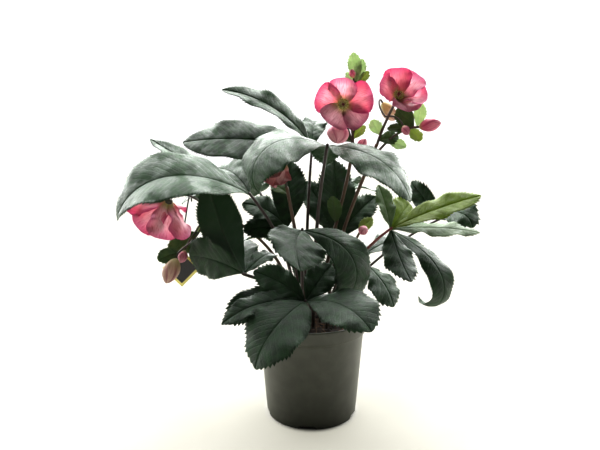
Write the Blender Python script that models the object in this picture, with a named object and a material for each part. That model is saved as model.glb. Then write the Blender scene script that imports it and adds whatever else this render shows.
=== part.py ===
"""A potted hellebore in bloom: a taper pot, its soil, and the plant that stands in it.

Lengths here are in millimetres and become metres when a mesh is made. Angles are in degrees.
+Z is up, the origin is the middle of the pot's underside, and the plant's front faces -Y.
"""
import math

import bmesh
import bpy
import numpy as np

MM = 0.001
GAP = 0.3                      # clearance between neighbouring pieces

# Pot: a 15 cm taper pot
POT_HEIGHT = 136.0
RIM_RADIUS = 75.0
BAND_HEIGHT = 18.0             # the rim band's height
BAND_STEP = 3.0                # how far the band stands out from the wall
FOOT_RADIUS = 62.0
WALL = 1.8
FLOOR = 2.5
WALL_TOP_RADIUS = 71.5         # outside, just under the band
POT_SIDES = 36
NOTCHES = 5
NOTCH_TURN = -96.0             # the front notch, a little left of the front
NOTCH_WIDTH = 19.0
NOTCH_HEIGHT = 4.5
NOTCH_DEPTH = 9.0
NOTCH_OVERRUN = 6.0            # how far its cutter runs past the foot

# Soil
SOIL_TOP = 121.0               # level at the wall
SOIL_CROWN = 5.0               # how much higher the middle lies
SOIL_LUMP = 1.6
HOLE_DEPTH = 14.0
SOIL_SEED = 5

# Blades
LEAF_THICK = 0.9
PETAL_THICK = 1.0
STALK_SIDES = 6
STALK_TAPER = 0.8              # a leaf stalk's radius at the hub, as a share of that at its foot
WIDE = 21                      # a blade with more half width than this has a line in each half
TOOTH = 2.2                    # how far a leaf's tooth stands out
NO_TEETH = 99                  # a bare stretch longer than any blade's rows of teeth
BRACT_THICK = 0.8
BRACT_FOLD = 12

# A leaf is a stalk that rises from its foot in the soil to its hub, where the leaflets meet.
# Leaflet: length, half width, heading, climb, bend, bend power, sweep, roll, fold, teeth.
# Heading 0 is +X and 90 is +Y. Climb is the midrib's slope at the hub, bend what it gains by the
# tip, and sweep the turn of the heading. Roll turns the blade round its midrib, and fold lifts
# each half from the midrib.
LEAVES = {
    "leaf_left_front": dict(foot=(-26, -18), hub=(-86, -58, 207), up=58, reach=34, stalk=2.6, leaflets=[
        (146, 28, 132, 39, 26, 0.9, -8, -138, 10, 8),
        (106, 27, 161, 33, -43, 0.6, -35, 96, 8, 7),
        (100, 21, 99, 35, -38, 0.9, -2, -4, 18, 6),
        (74, 12, 44, 36, -59, 1.3, 31, -18, 11, 5)]),
    "leaf_left": dict(foot=(-22, -2), hub=(-82, -8, 303), up=90, reach=50, stalk=2.6, leaflets=[
        (200, 46, -140, 25, -103, 1.9, -48, 35, 11, 9),
        (181, 20, 154, 22, 5, 1.5, 2, 17, 15, 7),
        (112, 27, 122, 38, -44, 1.0, 4, 34, 14, 6)]),
    "leaf_top": dict(foot=(2, -20), hub=(18, -35, 365), up=110, reach=70, stalk=2.8, leaflets=[
        (146, 43, -147, 18, -148, 1.8, -30, 26, -4, 9),
        (138, 38, -43, -1, -75, 1.5, 33, -18, 0, 9),
        (78, 22, 84, 2, -50, 1.3, 10, 0, 14, 5)]),
    "leaf_back_left": dict(foot=(-8, 12), hub=(1, 48, 363), up=110, reach=60, stalk=2.6, leaflets=[
        (188, 36, -161, 12, -20, 1.1, -39, 46, 7, 9),
        (160, 21, -179, 64, -57, 0.8, -15, 36, 18, 7),
        (84, 18, 97, 61, -64, 1.2, -38, -12, 13, 5)]),
    "leaf_centre": dict(foot=(-13, -26), hub=(-13, -48, 261), up=60, reach=40, stalk=2.4, leaflets=[
        (162, 31, -11, -9, -197, 1.7, 8, -43, -1, 9),
        (82, 37, -110, -3, -42, 0.8, 38, 25, 13, 8)]),
    "leaf_low_left": dict(foot=(-3, -36), hub=(-9, -80, 179), up=20, reach=22, stalk=2.4, leaflets=[
        (108, 17, -168, 10, -51, 1.3, 2, 27, 12, 7),
        (99, 38, -29, 14, -60, 1.4, -20, -13, 8, 9),
        (116, 38, -113, 3, -86, 1.3, -46, 16, 5, 9),
        (76, 18, 166, 40, -30, 1.0, -6, 56, 10, 6),
        (60, 18, 40, 50, -20, 1.0, 6, -40, 10, 5)]),
    "leaf_low_side": dict(foot=(-18, -36), hub=(-24, -58, 177), up=20, reach=20, stalk=2.2, leaflets=[
        (92, 22, -177, 5, -50, 1.3, 34, 40, 10, 7)]),
    "leaf_right_young": dict(foot=(24, -10), hub=(103, -18, 258), up=40, reach=60, stalk=2.4, leaflets=[
        (126, 18, -17, 30, -19, 1.0, 32, -36, 12, 8),
        (111, 18, -14, 7, -16, 1.3, -6, -18, 2, 7),
        (64, 20, 33, 50, -43, 0.9, 35, -54, 8, 5),
        (62, 13, 125, 74, -16, 1.0, 0, 10, 20, 4)]),
    "leaf_right": dict(foot=(30, -2), hub=(105, -5, 256), up=40, reach=56, stalk=2.2, leaflets=[
        (78, 25, -68, -60, 16, 1.1, 7, 5, 0, 6),
        (170, 19, -37, -25, -222, 2.9, -14, -13, -2, 9)]),
    "leaf_low_right": dict(foot=(20, -26), hub=(75, -10, 207), up=34, reach=30, stalk=2.2, leaflets=[
        (66, 26, -41, -33, -45, 1.5, 4, -9, 0, 6)]),
    "leaf_right_back": dict(foot=(31, 5), hub=(180, 38, 262), up=44, reach=60, stalk=2.2, leaflets=[
        (64, 25, -38, 47, -136, 1.4, 3, -34, 3, 6),
        (70, 15, 172, 57, -13, 1.0, -58, 74, 15, 5)]),
    "leaf_middle": dict(foot=(10, 14), hub=(38, 30, 236), up=50, reach=24, stalk=2.2, leaflets=[
        (116, 27, 100, 82, -16, 1.0, 0, 0, 12, 6),
        (98, 22, 150, 65, -20, 1.0, -6, 44, 12, 5),
        (84, 20, 14, 60, -30, 1.0, 10, -48, 12, 5)]),
    "leaf_middle_left": dict(foot=(-16, 8), hub=(-34, 24, 252), up=50, reach=24, stalk=2.2, leaflets=[
        (98, 24, 80, 80, -16, 1.0, 0, 0, 12, 6),
        (78, 19, 172, 56, -60, 1.0, -12, 44, 12, 6),
        (62, 17, 182, 16, -40, 1.0, 0, 62, 12, 5)]),
    "leaf_back_low": dict(foot=(0, 24), hub=(-1, 36, 150), up=12, reach=10, stalk=2.2, leaflets=[
        (82, 17, 132, 74, -6, 1.0, 0, 40, 10, 5),
        (72, 17, 34, 45, -6, 1.0, 0, -50, 10, 5)]),
}

# The back half of the plant: leaves in turn low and high, each with its leaflets fanned out
BACK_TURNS = (34, 70, 108, 148)     # headings of the hubs
BACK_AWAY = (104, 90, 112, 92)      # how far out the hubs are
BACK_LEVEL = (206, 296, 214, 304)   # and how high
BACK_FAN = 46
BACK_SEED = 11

# A flowering stem: its stalks, each four curve points and a radius, and its bracts.
# Bract: stalk, place along it, length, half width, heading, climb, bend, roll
STEMS = {
    "stem_front": dict(foot=(12, 0), stalks=[
        ([(12, 0, 128), (16, 6, 230), (50, 12, 300), (54, 10, 366)], 2.6),
        ([(54, 10, 362), (58, 10, 392), (40, 4, 420), (38.4, -20.1, 417.8)], 1.9),
        ([(54, 9, 368), (44, 4, 402), (38, 0, 406), (36, -6, 391.5)], 1.5),
        ([(54, 10, 378), (62, 16, 410), (60, 12, 430), (57, 9, 449)], 1.5),
        ([(54, 10, 356), (56, 9, 355), (59, 7, 356), (61, 6, 360)], 1.3),
        ([(57, 9, 445), (56, 6, 446), (54, 3, 448), (53, 1, 452)], 1.2)],
        bracts=[
        (3, 0.97, 40, 9, 128, 84, -4, 34), (3, 0.93, 36, 8, 40, 74, -6, -40),
        (3, 0.90, 22, 6, 178, 44, 20, 60), (3, 0.92, 24, 6, -4, 36, 26, -60),
        (1, 0.14, 24, 7, -10, 56, -20, -60), (1, 0.10, 26, 7, 176, 30, 10, 60),
        (0, 0.50, 44, 10, -110, 76, -20, 0)]),
    "stem_right": dict(foot=(22, 6), stalks=[
        ([(22, 6, 128), (26, 10, 230), (62, 10, 300), (86, 7, 368)], 2.6),
        ([(86, 7, 366), (92, 9, 388), (106, 14, 414), (109.4, 2.4, 423.6)], 2.0),
        ([(97, 10, 404), (86, 22, 420), (91, 30, 435), (96, 30, 424)], 1.4),
        ([(76, 8, 342), (92, 12, 364), (112, 8, 390), (139.6, 0, 390)], 1.9),
        ([(97, 10, 404), (106, 8, 406), (115, 2, 403), (118, -5, 391.5)], 1.3)],
        bracts=[
        (3, 0.97, 32, 8, 34, 74, 0, -60), (3, 0.93, 34, 12, 164, 44, 10, 74),
        (3, 0.90, 34, 7, -174, 2, -10, 60), (3, 0.82, 24, 9, -20, -30, -20, -50),
        (1, 0.20, 24, 9, 150, 60, 0, 50), (1, 0.10, 28, 10, 4, 16, -10, -60),
        (3, 0.45, 26, 8, -10, -10, -10, -60)]),
    "stem_left": dict(foot=(-24, 12), stalks=[
        ([(-24, 12, 128), (-30, 34, 230), (-110, 44, 262), (-152, 20, 288)], 2.4),
        ([(-150, 21, 287), (-158, 2, 300), (-176, -32, 312), (-184.6, -23.5, 298.2)], 1.8),
        ([(-146, 23, 285), (-152, 30, 226), (-176, -30, 239), (-176, -31, 221)], 1.4),
        ([(-146, 23, 285), (-149, 24, 256), (-170, 0, 240), (-170, -8, 227)], 1.2)],
        bracts=[
        (2, 0.30, 54, 15, -174, -26, -30, 86), (2, 0.80, 32, 10, 176, -16, -10, 86),
        (3, 0.50, 30, 9, 60, 10, -40, -30)]),
    "stem_centre": dict(foot=(-6, -8), stalks=[
        ([(-6, -8, 128), (-10, -8, 200), (-22, -14, 250), (-33, -14, 312)], 2.4),
        ([(-33, -14, 308), (-38, -14, 340), (-36, -20, 360), (-40, -26, 347)], 1.7)],
        bracts=[(0, 0.95, 30, 9, 150, 40, -30, 40)]),
    "stem_low": dict(foot=(20, 17), stalks=[
        ([(20, 17, 128), (34, 24, 180), (72, 20, 262), (67, 2, 251)], 1.8)],
        bracts=[(0, 0.78, 30, 8, 20, 60, -30, -50)]),
}

# Open blooms: middle, the way they face, and their sepals.
# Sepal: turn round the bloom, length, half width, cup, bend
BLOOMS = {
    "bloom_front": dict(middle=(38, -25, 417), face=(-0.08, -0.97, -0.16), sepals=[
        (24, 39, 20, 20, -10), (94, 34, 18, 24, -6), (163, 36, 19, 18, -14), (240, 30, 21, 16, -4),
        (320, 36, 16, 22, -22)]),
    "bloom_right": dict(middle=(110, -2, 427), face=(0.12, -0.80, 0.58), sepals=[
        (100, 38, 18, 38, -8), (44, 40, 19, 32, -6), (-12, 38, 19, 26, -10), (-66, 31, 21, 24, -18),
        (176, 34, 18, 44, -20)]),
    "bloom_left": dict(middle=(-186, -20, 294), face=(-0.34, 0.46, -0.82), sepals=[
        (216, 54, 22, 46, -8), (276, 50, 21, 48, -8), (330, 52, 21, 44, -12), (20, 58, 20, 26, -10),
        (110, 44, 21, 48, -10)]),
}
SEPAL_TILT = 13                      # each sepal lies with one edge over the next
HEART_STEEP = 55                     # slope of the ring of nectaries and stamens

# Buds: the stem and which of its stalks they end, their length and radius
BUDS = {
    "bud_round": ("stem_front", 2, 25, 13.5),
    "bud_level": ("stem_right", 3, 28, 8),
    "bud_droop": ("stem_left", 2, 36, 10),
    "bud_pale": ("stem_right", 2, 30, 9),
    "bud_tip": ("stem_right", 4, 15, 5),
    "bud_side": ("stem_left", 3, 18, 6),
    "bud_low": ("stem_low", 0, 17, 6),
    "bud_inner": ("stem_front", 4, 18, 6),
    "bud_top": ("stem_front", 5, 12, 4),
}
BELL = ("stem_centre", 1, 36, 15)

# Hanging tag: a bare square card, hung by a corner hook over a flower stalk
TAG_SIDE = 38.0
TAG_THICK = 0.8
TAG_MIDDLE = (-181, 14, 198)
TAG_HOOK = ((-181, 14, 223), (-172, 36, 300), (-164, 14, 318), (-162, 5, 292))


# Curves and blades, worked out as arrays of points

def bezier(points, steps):
    """Points along a cubic Bezier curve at even steps of its parameter."""
    a, b, c, d = (np.asarray(p, float) for p in points)
    t = np.linspace(0, 1, steps + 1)[:, None]
    return (1 - t) ** 3 * a + 3 * t * (1 - t) ** 2 * b + 3 * t * t * (1 - t) * c + t ** 3 * d


def midrib(start, length, heading, climb, bend, power, sweep, stations):
    """A blade's midrib: its slope is climb + bend * t^power and its heading turns by sweep.

    Returns the points at the stations, with the directions along, across and out of the blade.
    """
    t = np.linspace(0, 1, 241)
    slope = np.radians(climb + bend * t ** power)
    turn = np.radians(heading + sweep * t)
    along = np.stack([np.cos(slope) * np.cos(turn), np.cos(slope) * np.sin(turn), np.sin(slope)], -1)
    across = np.stack([np.sin(turn), -np.cos(turn), np.zeros_like(t)], -1)
    out = np.stack([-np.sin(slope) * np.cos(turn), -np.sin(slope) * np.sin(turn), np.cos(slope)], -1)
    steps = (along[1:] + along[:-1]) / 2 * length / (len(t) - 1)
    path = np.vstack([np.zeros(3), np.cumsum(steps, 0)]) + np.asarray(start, float)
    read = lambda field: np.stack([np.interp(stations, t, field[:, i]) for i in range(3)], -1)
    return read(path), read(along), read(across), read(out)


def thicken(points, triangles, thick):
    """A closed shell: the sheet and its copy, thick apart along the sheet's normals, and a rim."""
    points, triangles = np.asarray(points, float), np.asarray(triangles, int)
    corner = points[triangles]
    face = np.cross(corner[:, 1] - corner[:, 0], corner[:, 2] - corner[:, 0])
    normal = np.zeros_like(points)
    for i in range(3):
        np.add.at(normal, triangles[:, i], face)
    normal /= np.linalg.norm(normal, axis=1)[:, None]
    count = len(points)
    edges = np.vstack([triangles[:, [0, 1]], triangles[:, [1, 2]], triangles[:, [2, 0]]])
    known = {(a, b) for a, b in edges.tolist()}
    rim = [(a, b) for a, b in edges.tolist() if (b, a) not in known]
    walls = [tri for a, b in rim for tri in ((b, a, a + count), (b, a + count, b + count))]
    shell = np.vstack([points + normal * thick / 2, points - normal * thick / 2])
    return shell, triangles.tolist() + (triangles[:, ::-1] + count).tolist() + walls


def blade(start, length, half_width, heading, climb, bend, power, sweep, roll, fold, teeth,
          arch=0.12, wave=0.0, shape=(1.15, 0.88), bare=1, thick=LEAF_THICK, frame=None, crowd=1.0,
          halves=None):
    """A leaflet, bract or petal, with points across it at each station of its midrib.

    Its half width goes as t^p * (1-t)^q. Each half lifts by the fold and droops by arch * v^2,
    and its edge waves up and down. Forward-pointing teeth stand out of the edge past the bare
    part at the base. frame carries a blade from its own axes into another set, and halves is
    how many strips each half has.
    """
    halves = halves or (2 if half_width > WIDE else 1)
    p, q = shape
    t = 1 - (1 - np.linspace(0, 1, teeth + 1)) ** crowd
    every = np.concatenate([t, t[:-1] + 0.72 * np.diff(t)])
    peak = p / (p + q)
    width = half_width * (every ** p * (1 - every) ** q) / (peak ** p * (1 - peak) ** q)
    centre, along, across, out = midrib(start, length, heading, climb, bend, power, sweep, every)
    angle = np.radians(roll)
    side = across * math.cos(angle) + out * math.sin(angle)
    up = out * math.cos(angle) - across * math.sin(angle)

    def at(index, v, extra=0.0):
        w = width[index]
        ripple = wave * w * v * v * math.sin(2.6 * math.tau * every[index] + (0.9 if v > 0 else 2.3))
        lift = w * (abs(v) * math.sin(math.radians(fold)) - arch * v * v) + ripple
        reach = (w * math.cos(math.radians(fold)) + extra) * v
        return centre[index] + side[index] * reach + up[index] * lift

    points, triangles, rows = [], [], []

    def add(point):
        points.append(point)
        return len(points) - 1

    for i in range(teeth + 1):
        ends = i in (0, teeth)
        rows.append([add(centre[i])] * (2 * halves + 1) if ends
                    else [add(at(i, c / halves)) for c in range(-halves, halves + 1)])
    for i in range(teeth):
        low, high = rows[i], rows[i + 1]
        for s in (-1, 1):
            faces = []
            for c in range(halves):
                a, b = halves + s * c, halves + s * (c + 1)
                if c == halves - 1 and bare <= i:
                    stand = TOOTH if width[teeth + 1 + i] > 3 * TOOTH else TOOTH / 2
                    tip = add(at(teeth + 1 + i, s, stand))
                    faces += [(low[a], low[b], tip), (low[a], tip, high[a]), (high[a], tip, high[b])]
                else:
                    faces += [(low[a], low[b], high[a]), (low[b], high[b], high[a])]
            triangles += [f if s > 0 else f[::-1] for f in faces if len(set(f)) == 3]
    points = np.array(points)
    if frame is not None:
        points = points @ frame[0] + frame[1]
    return thicken(points, triangles, thick)


def tube(path, radius, sides=STALK_SIDES):
    """A closed round bar along the path. radius is one number, or one for each point."""
    path = np.asarray(path, float)
    radius = np.broadcast_to(radius, len(path))
    tangent = np.gradient(path, axis=0)
    tangent /= np.linalg.norm(tangent, axis=1)[:, None]
    first = np.cross(tangent[0], (0.31, 0.77, 0.55))
    turn = np.arange(sides) / sides * math.tau
    points = []
    for centre, forward, r in zip(path, tangent, radius):
        first = first - forward * (first @ forward)
        first /= np.linalg.norm(first)
        second = np.cross(forward, first)
        points += [centre + r * (math.cos(a) * first + math.sin(a) * second) for a in turn]
    faces = []
    for i in range(len(path) - 1):
        for j in range(sides):
            a, b = i * sides + j, i * sides + (j + 1) % sides
            faces += [(a, b, b + sides), (a, b + sides, a + sides)]
    last = (len(path) - 1) * sides
    faces += [(0, j + 1, j) for j in range(1, sides - 1)]
    faces += [(last, last + j, last + j + 1) for j in range(1, sides - 1)]
    return np.array(points), faces


def turned(profile, sides, wobble=None, bump=None):
    """A closed solid turned round +Z from (radius, height) points, from one pole to the other."""
    points, faces = [(0, 0, profile[0][1])], []
    turn = np.arange(sides) / sides * math.tau
    for ring, (radius, height) in enumerate(profile):
        for j, a in enumerate(turn):
            r = radius * (1 if wobble is None else wobble(ring, j))
            lift = 0 if bump is None else bump(ring, j)
            points.append((r * math.cos(a), r * math.sin(a), height + lift))
    points.append((0, 0, profile[-1][1]))
    top = len(points) - 1
    for j in range(sides):
        k = (j + 1) % sides
        faces.append((0, 1 + k, 1 + j))
        for ring in range(len(profile) - 1):
            a, b = 1 + ring * sides + j, 1 + ring * sides + k
            faces += [(a, b, b + sides), (a, b + sides, a + sides)]
        faces.append((top, top - sides + j, top - sides + k))
    return np.array(points, float), faces


def axes_of(face):
    """A bloom's own axes as rows: two across it and one the way it faces."""
    out = np.array(face, float) / np.linalg.norm(face)
    first = np.cross((0.1, 0.2, 1.0), out)
    first /= np.linalg.norm(first)
    return np.array([first, np.cross(out, first), out])


def place(body, frame):
    """Carry a body from a bloom's own axes to where the bloom is."""
    points, faces = body
    return points @ frame[0] + frame[1], faces


# The pieces

def pot_body():
    """The pot's wall, turned: outside from the foot up, over the rim, and down the inside."""
    step = POT_HEIGHT - BAND_HEIGHT
    outside = [(FOOT_RADIUS - 1.6, 0), (FOOT_RADIUS - 0.4, 0.6), (FOOT_RADIUS, 2.4),
               (WALL_TOP_RADIUS, step - 0.6), (RIM_RADIUS - 0.8, step), (RIM_RADIUS, POT_HEIGHT - 1.5),
               (RIM_RADIUS - 0.7, POT_HEIGHT)]
    inside = [(RIM_RADIUS - 2.3, POT_HEIGHT), (RIM_RADIUS - 3.2, step + 1.2),
              (WALL_TOP_RADIUS - WALL, step - 2), (FOOT_RADIUS - 2.6, FLOOR)]
    return turned(outside + inside, POT_SIDES)


def notch_cutters():
    """Boxes that cut the drainage notches, evenly round the foot."""
    cutters = []
    for k in range(NOTCHES):
        angle = math.radians(NOTCH_TURN + 360 / NOTCHES * k)
        out = np.array([math.cos(angle), math.sin(angle), 0])
        side = np.array([-math.sin(angle), math.cos(angle), 0])
        near, far = FOOT_RADIUS - NOTCH_DEPTH, FOOT_RADIUS + NOTCH_OVERRUN
        corners = [out * reach + side * v * NOTCH_WIDTH / 2 + (0, 0, height)
                   for height in (-NOTCH_OVERRUN, NOTCH_HEIGHT)
                   for reach, v in ((near, -1), (far, -1), (far, 1), (near, 1))]
        faces = [(0, 2, 1), (0, 3, 2), (4, 5, 6), (4, 6, 7)]
        faces += [f for a, b in ((0, 1), (1, 2), (2, 3), (3, 0))
                  for f in ((a, b, b + 4), (a, b + 4, a + 4))]
        cutters.append((np.array(corners), faces))
    return cutters


def soil_body():
    """The soil: the pot's inside less the gap, with a low crown and a lumpy top."""
    rng = np.random.default_rng(SOIL_SEED)
    lumps = rng.uniform(-SOIL_LUMP, SOIL_LUMP, (8, POT_SIDES))
    step = POT_HEIGHT - BAND_HEIGHT
    clear = GAP + 0.1
    high = RIM_RADIUS - 3.3 - clear
    wall = [(FOOT_RADIUS - 2.6 - clear, FLOOR + clear), (WALL_TOP_RADIUS - WALL - clear, step - 2),
            (high, step + 1.6), (high, SOIL_TOP)]
    top = [(high * r, SOIL_TOP + SOIL_CROWN * (1 - r * r)) for r in (0.76, 0.42)]
    return turned(wall + top, POT_SIDES, bump=lambda ring, j: lumps[ring, j] if ring >= len(wall) else 0)


def foot_of(foot):
    """The two points of a stem's straight foot: the bottom of its hole and just above the soil."""
    return [np.array([*foot, SOIL_TOP - HOLE_DEPTH]), np.array([*foot, SOIL_TOP + SOIL_CROWN + 2])]


def hole_cutter(foot, radius):
    """A plain hole for a stem, wider than the stem by the gap."""
    bottom = np.array([*foot, SOIL_TOP - HOLE_DEPTH - GAP])
    return tube([bottom, bottom + (0, 0, HOLE_DEPTH + 30)], radius + GAP + 0.1)


def leaf_bodies(leaf):
    """A leaf: its stalk rises from the soil, leans over to the hub, and carries the leaflets."""
    feet, hub = foot_of(leaf["foot"]), np.array(leaf["hub"], float)
    away = (hub - feet[1]) * (1, 1, 0.45)
    away /= np.linalg.norm(away)
    curve = bezier([feet[1], feet[1] + (0, 0, leaf["up"]), hub - away * leaf["reach"], hub + away * 2], 5)
    path = np.vstack([feet[:1], curve])
    thin = leaf["stalk"] * STALK_TAPER
    radius = np.interp(np.arange(len(path)), [0, 1, len(path) - 1], [leaf["stalk"], leaf["stalk"], thin])
    return [tube(path, radius)] + [blade(hub, *row, halves=leaf.get("halves")) for row in leaf["leaflets"]]


def back_leaves():
    """Leaves for the half of the plant that faces away, by rule, with seeded changes."""
    rng = np.random.default_rng(BACK_SEED)
    leaves = {}
    for k, (turn, away, level) in enumerate(zip(BACK_TURNS, BACK_AWAY, BACK_LEVEL)):
        angle = math.radians(turn)
        hub = (away * math.cos(angle), away * math.sin(angle) + 22, level)
        foot = (28 * math.cos(angle), 10 + 22 * math.sin(angle))
        leaflets = [(124 + rng.integers(-12, 13), 29 + rng.integers(-3, 4), turn + fan,
                     24 - 6 * abs(fan) / BACK_FAN, -72 + rng.integers(-12, 13), 1.3, fan * 0.2,
                     rng.integers(-10, 11), 12, 4) for fan in (-BACK_FAN, 0, BACK_FAN)]
        leaves[f"leaf_back_{k + 1}"] = dict(foot=foot, hub=hub, up=(level - SOIL_TOP) * 0.45, reach=46,
                                            stalk=2.4, halves=1, leaflets=leaflets)
    return leaves


def stem_curves(stem):
    """The points along each of a stem's stalks."""
    return [bezier(points, 5) for points, radius in stem["stalks"]]


def stem_bodies(stem):
    """A flowering stem: its foot, its forked stalks, and the bracts that grow from them."""
    curves = stem_curves(stem)
    radii = [radius for points, radius in stem["stalks"]]
    bodies = [tube(np.vstack([foot_of(stem["foot"])[:1], curves[0]]), radii[0])]
    bodies += [tube(curve, radius, 5) for curve, radius in zip(curves[1:], radii[1:])]
    for stalk, along, length, half, heading, climb, bend, roll in stem["bracts"]:
        start = [np.interp(along * 5, range(6), curves[stalk][:, i]) for i in range(3)]
        bodies.append(blade(start, length, half, heading, climb, bend, 1.0, 0, roll, BRACT_FOLD, 4,
                            bare=NO_TEETH, thick=BRACT_THICK))
    return bodies


def stalk_end(name, stalk):
    """Where a bud sits: axes along the stalk's last stretch, and a point just past its end."""
    curve = stem_curves(STEMS[name])[stalk]
    ahead = curve[-1] - curve[-2]
    return axes_of(ahead), curve[-1] + ahead / np.linalg.norm(ahead) * (GAP + 0.1)


def bloom_bodies(bloom):
    """The sepals, each with one edge over the next, fused to a small receptacle."""
    frame = (axes_of(bloom["face"]), np.array(bloom["middle"], float))
    bodies = [place(turned([(2.4, -4.4), (4.2, -2.6), (4.8, 0.4), (3.2, 2.0)], 10), frame)]
    for turn, length, half, cup, bend in bloom["sepals"]:
        bodies.append(blade((0, 0, -0.6), length, half, turn, cup, bend, 1.0, 0, SEPAL_TILT, 2, 5, arch=-0.2,
                            wave=0.05, shape=(0.85, 0.38), bare=NO_TEETH, thick=PETAL_THICK, frame=frame,
                            crowd=1.5))
    return bodies


def bloom_centre(bloom):
    """The ring of nectaries and stamens: a cone whose rim stands up in short teeth."""
    frame = (axes_of(bloom["face"]), np.array(bloom["middle"], float))
    steep = math.radians(HEART_STEEP)
    reach, rise = 9.5 * math.cos(steep) + 1.5, 9.5 * math.sin(steep)
    ring = [(1.4, 2.6), (reach * 0.55 + 0.6, 3.0 + rise * 0.5), (reach, 2.8 + rise),
            (reach * 0.7, 2.2 + rise), (reach * 0.3, 2.6 + rise * 0.9)]
    teeth = lambda level, j: 1 + (0.14 if j % 2 else -0.12) * (level in (2, 3))
    return place(turned(ring, 18, teeth), frame)


def bud_body(stem, stalk, length, radius):
    """An egg-shaped bud of folded sepals: five low steps run round it, each over the next."""
    levels = ((0.0, 0.22), (0.14, 0.66), (0.38, 1.0), (0.66, 0.95), (0.9, 0.48), (0.98, 0.16))
    profile = [(radius * r, length * z) for z, r in levels]
    steps = lambda level, j: 1 + 0.1 * ((j + level // 2) % 2) * (0 < level < 5)
    return place(turned(profile, 10, steps), stalk_end(stem, stalk))


def bell_body(stem, stalk, length, radius):
    """A half-open bud that hangs as a bell: five sepals side by side, hollow below."""
    outside = ((0.0, 0.16), (0.1, 0.5), (0.35, 0.82), (0.7, 0.92), (1.0, 1.0))
    inside = ((0.98, 0.86), (0.6, 0.72), (0.3, 0.4))
    profile = [(radius * r, length * z) for z, r in outside + inside]
    lobes = lambda level, j: 1 + (0.1, 0.02, -0.12)[j % 3] * (level > 1)
    lip = lambda level, j: (0, 0, -3.5)[j % 3] * (level in (4, 5))
    return place(turned(profile, 15, lobes, lip), stalk_end(stem, stalk))


def tag_bodies():
    """The card, one corner down, and the hook that it hangs by."""
    half = TAG_SIDE / math.sqrt(2)
    corners = [(0, -half), (half, 0), (0, half), (-half, 0)]
    points = [(x, y * TAG_THICK, z) for y in (-0.5, 0.5) for x, z in corners]
    faces = [(0, 1, 2), (0, 2, 3), (4, 6, 5), (4, 7, 6)]
    faces += [f for a, b in ((0, 1), (1, 2), (2, 3), (3, 0)) for f in ((a, a + 4, b + 4), (a, b + 4, b))]
    card = np.array(points) + TAG_MIDDLE, faces
    return [card, tube(bezier(TAG_HOOK, 8), 1.0, 5)]


LEAVES.update(back_leaves())
NODES = {"pot": [pot_body()], "soil": [soil_body()]}
NODES.update({name: leaf_bodies(leaf) for name, leaf in LEAVES.items()})
NODES.update({name: stem_bodies(stem) for name, stem in STEMS.items()})
for name, bloom in BLOOMS.items():
    NODES[name + "_petals"] = bloom_bodies(bloom)
    NODES[name + "_centre"] = [bloom_centre(bloom)]
NODES["bud_bell"] = [bell_body(*BELL)]
NODES.update({name: [bud_body(*bud)] for name, bud in BUDS.items()})
NODES["tag"] = tag_bodies()
HOLES = [hole_cutter(leaf["foot"], leaf["stalk"]) for leaf in LEAVES.values()]
HOLES += [hole_cutter(stem["foot"], stem["stalks"][0][1]) for stem in STEMS.values()]
CUTS = {"pot": notch_cutters(), "soil": HOLES}

# Build the objects

# Each kind of piece: base colour, roughness, metallic
COLOURS = {
    "pot": ((0.071, 0.065, 0.050), 0.55, 0.0),
    "soil": ((0.020, 0.013, 0.008), 0.95, 0.0),
    "leaf": ((0.030, 0.060, 0.028), 0.42, 0.0),
    "young": ((0.270, 0.380, 0.060), 0.45, 0.0),
    "stem": ((0.120, 0.150, 0.050), 0.50, 0.0),
    "petals": ((0.620, 0.150, 0.230), 0.50, 0.0),
    "centre": ((0.330, 0.310, 0.070), 0.60, 0.0),
    "bud": ((0.520, 0.170, 0.210), 0.50, 0.0),
    "tag": ((0.040, 0.040, 0.040), 0.45, 0.0),
}
SMOOTH = ("pot", "bud", "stem", "leaf", "bloom")      # round or curved, so shaded smooth
SMOOTH_ANGLE = 40


def material_for(name):
    """A new Principled material for a piece, with the values of its kind."""
    kind = next(k for k in ("young", "petals", "centre", *COLOURS) if k in name)
    colour, roughness, metallic = COLOURS[kind]
    material = bpy.data.materials.new(name)
    material.use_nodes = True
    shader = material.node_tree.nodes["Principled BSDF"]
    shader.inputs["Base Color"].default_value = (*colour, 1)
    shader.inputs["Roughness"].default_value = roughness
    shader.inputs["Metallic"].default_value = metallic
    material.diffuse_color = (*colour, 1)
    return material


def mesh_object(name, body, collection):
    """An object from one body's points and faces, in metres."""
    points, faces = body
    mesh = bpy.data.meshes.new(name)
    mesh.from_pydata((np.asarray(points) * MM).tolist(), [], [tuple(map(int, f)) for f in faces])
    thing = bpy.data.objects.new(name, mesh)
    collection.objects.link(thing)
    return thing


def joined(name, first, others, operation):
    """The first body with all the others added to it or cut from it by one Boolean."""
    thing = mesh_object(name, first, bpy.context.scene.collection)
    if not others:
        return thing
    group = bpy.data.collections.new(name + "_helpers")
    bpy.context.scene.collection.children.link(group)
    helpers = [mesh_object(f"{name}_helper_{k}", body, group) for k, body in enumerate(others)]
    for helper in helpers:
        helper.hide_render, helper.display_type = True, "WIRE"
    modifier = thing.modifiers.new("join", "BOOLEAN")
    modifier.operation, modifier.solver = operation, "EXACT"
    modifier.operand_type, modifier.collection = "COLLECTION", group
    result = bpy.data.meshes.new_from_object(thing.evaluated_get(bpy.context.evaluated_depsgraph_get()))
    thing.modifiers.clear()
    thing.data = result
    for helper in helpers:
        bpy.data.objects.remove(helper)
    bpy.data.collections.remove(group)
    return thing


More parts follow.
